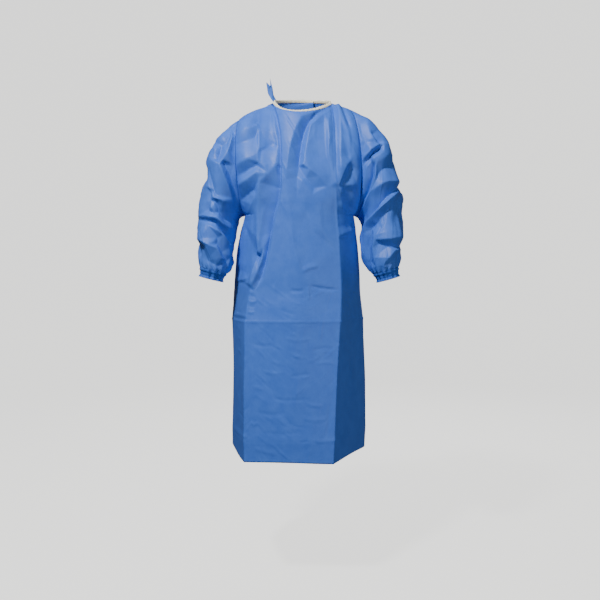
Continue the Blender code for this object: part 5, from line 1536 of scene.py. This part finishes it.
def make_ties(folded, normals, material, thread):
    """The two waist ties, sewn on at the sides, with their knot and free ends."""
    half = TIE_WIDTH / 2
    under = np.arange(TIE_SEWN[0], LAP_RIGHT - TIE_STEP_RUN, TIE_STEP)
    over = np.arange(LAP_RIGHT - TIE_STEP_CLEAR, KNOT_X - KNOT_SIZE[0], TIE_STEP)
    far = np.arange(TIE_SEWN[1], KNOT_X + KNOT_SIZE[0], -TIE_STEP)
    left = [("back_left", x, TIE_OFF, half) for x in under]
    left += [("back_right", x, TIE_OFF, half * pinch(x)) for x in over]
    right = [("back_right", x, TIE_OFF, half * pinch(x)) for x in far]
    pieces = (("waist_tie_left", left, True), ("waist_tie_right", right, False))
    for name, places, flip in pieces:
        panel = tie_panel(folded, normals, places, flip)
        obj = add_sheet(f"{name}_cloth", panel, material, TIE_THICK)
        finish_piece(obj, "tie", name)
        line = panel.grid[1:-1, 3]
        out = np.tile(unit(np.cross(line[1] - line[0], panel.grid[1, 5] - panel.grid[1, 3])), (len(line), 1))
        out *= np.sign(out[:, 1:2])
        sewn = stitches(f"{name}_stitches", line + out * 0.0002, out, thread, 0.004, 0.003, 0.00025)
        finish_piece(sewn, "tie")
    knot, _ = on_back(folded, normals, "back_right", KNOT_X, TIE_Z, 0.0)
    knot[1] += KNOT_SIZE[1]
    make_knot(knot, material)
    make_tie_ends(folded, normals, knot, material)


def pinch(x):
    """How wide a tie is near the knot, as a share of its full width."""
    return TIE_PINCHED + (1.0 - TIE_PINCHED) * ease((abs(x - KNOT_X) - KNOT_SIZE[0]) / TIE_PINCH_RUN)


def make_knot(centre, material):
    """The knot: three turns of flat tie drawn tight, as a soft ball with the turns' edges."""
    rows, columns = 40, 56
    polar = np.linspace(0.02, np.pi - 0.02, rows)[:, None]
    turn = np.arange(columns)[None] * 2 * np.pi / columns
    shape = np.stack([np.sin(polar) * np.cos(turn), np.sin(polar) * np.sin(turn), np.cos(polar) + 0 * turn], 2)
    lean = shape[..., 0] * 0.55 + shape[..., 2] * 0.85
    ridge = 0.10 * np.abs(np.sin(4.2 * lean + 0.6)) + 0.03 * np.sin(11.0 * shape[..., 0] + 7.0 * shape[..., 2])
    wrap = 0.12 * np.exp(-((shape[..., 0] * 0.8 - shape[..., 2] * 0.5) ** 2) / 0.05)
    grid = centre + shape * (0.86 + ridge + wrap)[..., None] * np.array(KNOT_SIZE) * 0.94
    panel = Panel(grid, True, False)
    obj = add_sheet("waist_knot_cloth", panel, material, TIE_THICK)
    finish_piece(obj, "tie", "waist_knot")


def make_tie_ends(folded, normals, knot, material):
    """The free ends, which hang from the knot just clear of the back, with a soft twist."""
    top = knot[2] - KNOT_SIZE[2] * 0.6
    near, far = TIE_END_FROM_MIDDLE
    for name, side, lean in TIE_END_LEANS:
        rows = []
        falls = np.linspace(0.0, TIE_END_LENGTH, TIE_END_ROWS)
        for fall in falls:
            spread = ease(fall / TIE_END_SPREAD_RUN)
            half = TIE_WIDTH / 2 * (TIE_END_NARROW + (1.0 - TIE_END_NARROW) * spread)
            middle = knot[0] + side * (near + (far - near) * spread) + lean * fall
            clear = TIE_OFF + TIE_END_CLEAR + TIE_END_LIFT * (1.0 - spread)
            row = []
            for share in np.linspace(-1.0, 1.0, TIE_COLUMNS):
                cut = TIE_END_CUT * share * side * ease(fall / TIE_END_LENGTH)
                place, out = on_back(folded, normals, "back_right", middle + share * half, top - fall + cut, clear)
                curl = 0.0018 * np.sin(fall / 0.030 + side) * share + 0.0022 * np.sin(fall / 0.045 + 2 * side)
                row.append(place + out * (curl + 0.0022))
            rows.append(row)
        grid = smooth_rows(np.array(rows), 3)
        panel = Panel(grid, False, True)
        obj = add_sheet(f"{name}_cloth", panel, material, TIE_THICK)
        finish_piece(obj, "tie", name)


def linear(hex_colour):
    """An sRGB hex colour as linear red, green, blue and alpha."""
    parts = [int(hex_colour[i : i + 2], 16) / 255 for i in (1, 3, 5)]
    return (*[c / 12.92 if c <= 0.04045 else ((c + 0.055) / 1.055) ** 2.4 for c in parts], 1.0)


def add_node(material, kind, settings=(), **links):
    """A node of one kind, with its settings, and each named input set or linked."""
    tree = material.node_tree
    node = tree.nodes.new(kind)
    for key, value in dict(settings).items():
        setattr(node, key, value)
    for key, value in links.items():
        socket = node.inputs[int(key[1:])] if key[0] == "i" and key[1:].isdigit() else node.inputs[key.replace("_", " ")]
        if isinstance(value, bpy.types.NodeSocket):
            tree.links.new(value, socket)
        else:
            socket.default_value = value
    return node


def cloth_material(name, light, dark, mottle_m, thread_m, relief, roughness, film, sheen):
    """A cloth: two near colours in soft patches and fibres, a fine pattern, and its gloss.

    mottle_m is the size of the patches, thread_m the pitch of the pattern, both real metres.
    """
    material = bpy.data.materials.new(name)
    material.use_nodes = True
    shader = material.node_tree.nodes["Principled BSDF"]
    where = add_node(material, "ShaderNodeTexCoord")
    patches = add_node(
        material, "ShaderNodeTexNoise", Vector=where.outputs["Object"], Scale=1 / mottle_m, Detail=4.0
    )
    fibres = add_node(
        material, "ShaderNodeTexNoise", Vector=where.outputs["UV"], Scale=1 / (2.2 * thread_m),
        Detail=3.0, Roughness=0.65,
    )
    both = add_node(
        material, "ShaderNodeMath", {"operation": "MULTIPLY_ADD"},
        i0=fibres.outputs["Fac"], i1=0.45, i2=patches.outputs["Fac"],
    )
    shade = add_node(
        material, "ShaderNodeMapRange", Value=both.outputs[0], From_Min=0.45, From_Max=0.95
    )
    colour = add_node(
        material, "ShaderNodeMix", {"data_type": "RGBA"},
        i0=shade.outputs[0], i6=linear(dark), i7=linear(light),
    )
    points = add_node(
        material, "ShaderNodeTexVoronoi", {"feature": "F1"}, Vector=where.outputs["UV"],
        Scale=1 / thread_m, Randomness=0.35,
    )
    gloss = add_node(
        material, "ShaderNodeMapRange", Value=patches.outputs["Fac"], From_Min=0.3, From_Max=0.7,
        To_Min=roughness - 0.05, To_Max=roughness + 0.06,
    )
    pattern = add_node(
        material, "ShaderNodeBump", Height=points.outputs["Distance"], Strength=relief, Distance=0.0003
    )
    crease = add_node(
        material, "ShaderNodeTexNoise", {"noise_type": "RIDGED_MULTIFRACTAL"},
        Vector=where.outputs["Object"], Scale=1 / (2.0 * mottle_m), Detail=5.0,
    )
    creases = add_node(
        material, "ShaderNodeBump", Height=crease.outputs["Fac"], Strength=film["creases"],
        Distance=0.0012, Normal=pattern.outputs["Normal"],
    )
    tree = material.node_tree
    tree.links.new(colour.outputs[2], shader.inputs["Base Color"])
    tree.links.new(gloss.outputs[0], shader.inputs["Roughness"])
    tree.links.new(creases.outputs["Normal"], shader.inputs["Normal"])
    shader.inputs["IOR"].default_value = 1.49
    shader.inputs["Specular IOR Level"].default_value = film["gloss"]
    shader.inputs["Coat Weight"].default_value = film["coat"]
    shader.inputs["Coat Roughness"].default_value = film["coat_roughness"]
    shader.inputs["Sheen Weight"].default_value = sheen
    shader.inputs["Sheen Roughness"].default_value = 0.4
    return material


def coated_nonwoven():
    """Spunbond and meltblown polypropylene with a thin polyethylene film on its outside.

    To the eye: an even mid blue with faint cloudy patches, a satin gloss from the film, and
    fine crinkles. The bond points are 1 mm apart and are drawn at 3 mm so that they show.
    """
    film = {"gloss": 0.22, "coat": 0.05, "coat_roughness": 0.38, "creases": 0.10}
    return cloth_material("coated_nonwoven", CLOTH_LIGHT, CLOTH_DARK, 0.030, 0.003, 0.25, 0.48, film, 0.0)


def shaded_gathered_nonwoven():
    """The same cloth at the cuffs, matted by its close gathers; its colours are painted a little darker, as
    painted shade among the gathers.
    """
    film = {"gloss": 0.2, "coat": 0.0, "coat_roughness": 0.45, "creases": 0.35}
    return cloth_material("shaded_gathered_nonwoven", CUFF_SHADED_LIGHT, CUFF_SHADED_DARK, 0.015, 0.003, 0.3, 0.52, film, 0.0)


def folded_nonwoven():
    """The ties: uncoated nonwoven folded double, so it is matte and shows its bond points."""
    film = {"gloss": 0.2, "coat": 0.0, "coat_roughness": 0.5, "creases": 0.25}
    return cloth_material("folded_nonwoven", TIE_LIGHT, TIE_DARK, 0.020, 0.0025, 0.5, 0.60, film, 0.05)


def knitted_tape():
    """Cream cotton and polyester tape: soft, matte, with fine ribs 1.4 mm apart."""
    film = {"gloss": 0.2, "coat": 0.0, "coat_roughness": 0.5, "creases": 0.12}
    return cloth_material("knitted_tape", TAPE_LIGHT, TAPE_DARK, 0.012, 0.0014, 0.8, 0.80, film, 0.3)


def sewing_thread(name, light, dark):
    """Spun polyester thread, slightly glossy."""
    film = {"gloss": 0.2, "coat": 0.0, "coat_roughness": 0.5, "creases": 0.0}
    return cloth_material(name, light, dark, 0.010, 0.0006, 0.6, 0.55, film, 0.2)


def sew_seams(folded, normals, thread):
    """The thread in each seam's groove: armholes, shoulders, sides and the folded back edges."""
    lines = {
        "armhole_left": ("sleeve_left", (0, slice(None))),
        "armhole_right": ("sleeve_right", (0, slice(None))),
        "side_seam_left": ("back_left", (slice(ARMHOLE_ROWS, None), 0)),
        "side_seam_right": ("back_right", (slice(ARMHOLE_ROWS, None), 0)),
        "shoulder_left": ("back_left", (0, slice(0, sum(LEFT_SHOULDER) * ACROSS + 1))),
        "shoulder_right": ("back_right", (0, slice(0, RIGHT_SHOULDER * ACROSS + 1))),
        "cuff_seam_left": ("sleeve_left", (-1, slice(None))),
        "cuff_seam_right": ("sleeve_right", (-1, slice(None))),
    }
    for name, (panel, where) in lines.items():
        line = folded[panel].grid[where]
        out = normals[panel][where]
        line = line + out * 0.0003
        sewn = stitches(f"{name}_stitches", line, out, thread, 0.0055, 0.0038, 0.00028)
        finish_piece(sewn, "cloth")
    for name in ("back_left", "back_right"):
        grid = folded[name].grid
        across, _ = cloth_places(folded[name])
        line = []
        out = []
        for row in range(2, len(grid)):
            place = across[row, -1] - EDGE_HEM
            line.append([np.interp(place, across[row], grid[row, :, k]) for k in range(3)])
            out.append([np.interp(place, across[row], normals[name][row, :, k]) for k in range(3)])
        out = unit(np.array(out))
        line = np.array(line) + out * 0.0003
        sewn = stitches(f"{name}_edge_stitches", line, out, thread, 0.0055, 0.0038, 0.00028)
        finish_piece(sewn, "cloth")


def build_gown():
    """Every piece of the gown."""
    cloth = coated_nonwoven()
    cuff_cloth = shaded_gathered_nonwoven()
    tie_cloth = folded_nonwoven()
    tape = knitted_tape()
    blue_thread = sewing_thread("blue_thread", THREAD_BLUE, THREAD_BLUE_DARK)
    cream_thread = sewing_thread("cream_thread", THREAD_CREAM, THREAD_CREAM_DARK)
    front = make_front()
    back_left = lift_hem(soften_chest(back_half(front, True), False))
    back_right = lift_hem(soften_chest(back_half(front, False), False))
    front = lift_hem(soften_chest(front, True))
    back_left[ARMHOLE_ROWS:, 0] = front[ARMHOLE_ROWS:, 0]
    back_right[ARMHOLE_ROWS:, 0] = front[ARMHOLE_ROWS:, -1]
    panels = {
        "front": Panel(front, False, False),
        "back_left": Panel(back_left, False, True),
        "back_right": Panel(back_right, False, False),
        "sleeve_left": Panel(sleeve(front, back_left, SLEEVE_LEFT, False), True, False),
        "sleeve_right": Panel(sleeve(front, back_right, SLEEVE_RIGHT, True), True, True),
    }
    folded, normals = with_folds(panels)
    for name, panel in folded.items():
        obj = add_sheet(f"{name}_cloth", panel, cloth, CLOTH_THICK)
        finish_piece(obj, "cloth", name)
    for side in ("left", "right"):
        cuff = make_cuff(folded[f"sleeve_{side}"].grid, side == "right")
        obj = add_sheet(f"cuff_{side}_cloth", cuff, cuff_cloth, CLOTH_THICK)
        finish_piece(obj, "cuff", f"cuff_{side}")
    make_binding(folded, normals, tape, cream_thread)
    make_tab(folded, normals, tie_cloth)
    make_ties(folded, normals, tie_cloth, blue_thread)
    sew_seams(folded, normals, blue_thread)


def make_stage():
    """A plain pale floor that curves up into a pale wall all round, and throws no light back."""
    material = bpy.data.materials.new("pale_paper")
    material.use_nodes = True
    shader = material.node_tree.nodes["Principled BSDF"]
    shader.inputs["Base Color"].default_value = linear(FLOOR_SHADE)
    shader.inputs["Roughness"].default_value = 0.9
    shader.inputs["Emission Color"].default_value = linear(FLOOR_COLOUR)
    shader.inputs["Emission Strength"].default_value = FLOOR_GLOW
    angle = np.linspace(0.0, np.pi / 2, 20)
    radius = [0.0, STAGE_FLAT, *(STAGE_FLAT + STAGE_BEND * np.sin(angle[1:])), STAGE_FLAT + STAGE_BEND]
    height = [0.0, 0.0, *(STAGE_BEND * (1 - np.cos(angle[1:]))), STAGE_TOP]
    turn = np.linspace(0.0, 2 * np.pi, 73)[:-1]
    grid = np.array(
        [[(r * np.cos(a), r * np.sin(a), FLOOR_Z + h) for a in turn] for r, h in zip(radius, height)]
    )
    grid[0, :, :2] += 0.001 * np.stack([np.cos(turn), np.sin(turn)], axis=1)
    floor = add_object(
        "floor", grid.reshape(-1, 3), face_corners(len(radius), len(turn), True), material
    )
    floor.visible_glossy = False
    floor.visible_diffuse = False
    floor.visible_shadow = False


def add_light(name, place, aim, size, power, shine=True):
    """A soft white light that points from its place to an aim, and may show in the cloth's shine."""
    data = bpy.data.lights.new(name, "AREA")
    data.shape = "RECTANGLE"
    data.size, data.size_y = size
    data.energy = power
    obj = bpy.data.objects.new(name, data)
    obj.location = place
    obj.rotation_euler = (Vector(aim) - Vector(place)).to_track_quat("-Z", "Y").to_euler()
    obj.visible_glossy = shine
    bpy.context.collection.objects.link(obj)


def light_studio():
    """A soft key high in front and left of the middle, a low fill, and a softer light behind."""
    add_light("key", (-1.15, -1.75, 1.95), (0.0, 0.0, -0.40), (0.30, 0.30), 128.0)
    add_light("fill", (1.7, -2.7, -0.8), (0.1, 0.0, -0.75), (1.4, 1.4), 26.0)
    add_light("behind", (0.9, 2.6, 1.0), (0.0, 0.0, -0.5), (1.0, 1.0), 70.0, shine=False)
    world = bpy.data.worlds.new("pale_surround")
    world.use_nodes = True
    world.node_tree.nodes["Background"].inputs["Color"].default_value = linear("#FFFFFF")
    world.node_tree.nodes["Background"].inputs["Strength"].default_value = 0.09
    bpy.context.scene.world = world


def add_camera():
    """The camera, at the photograph's viewing angle."""
    data = bpy.data.cameras.new("camera")
    data.lens = CAMERA_LENS
    data.sensor_width = 36.0
    data.shift_y = CAMERA_SHIFT
    camera = bpy.data.objects.new("camera", data)
    camera.location = CAMERA_PLACE
    camera.rotation_euler = (np.pi / 2, 0.0, 0.0)
    bpy.context.collection.objects.link(camera)
    bpy.context.scene.camera = camera


add_camera()
make_stage()
light_studio()
build_gown()
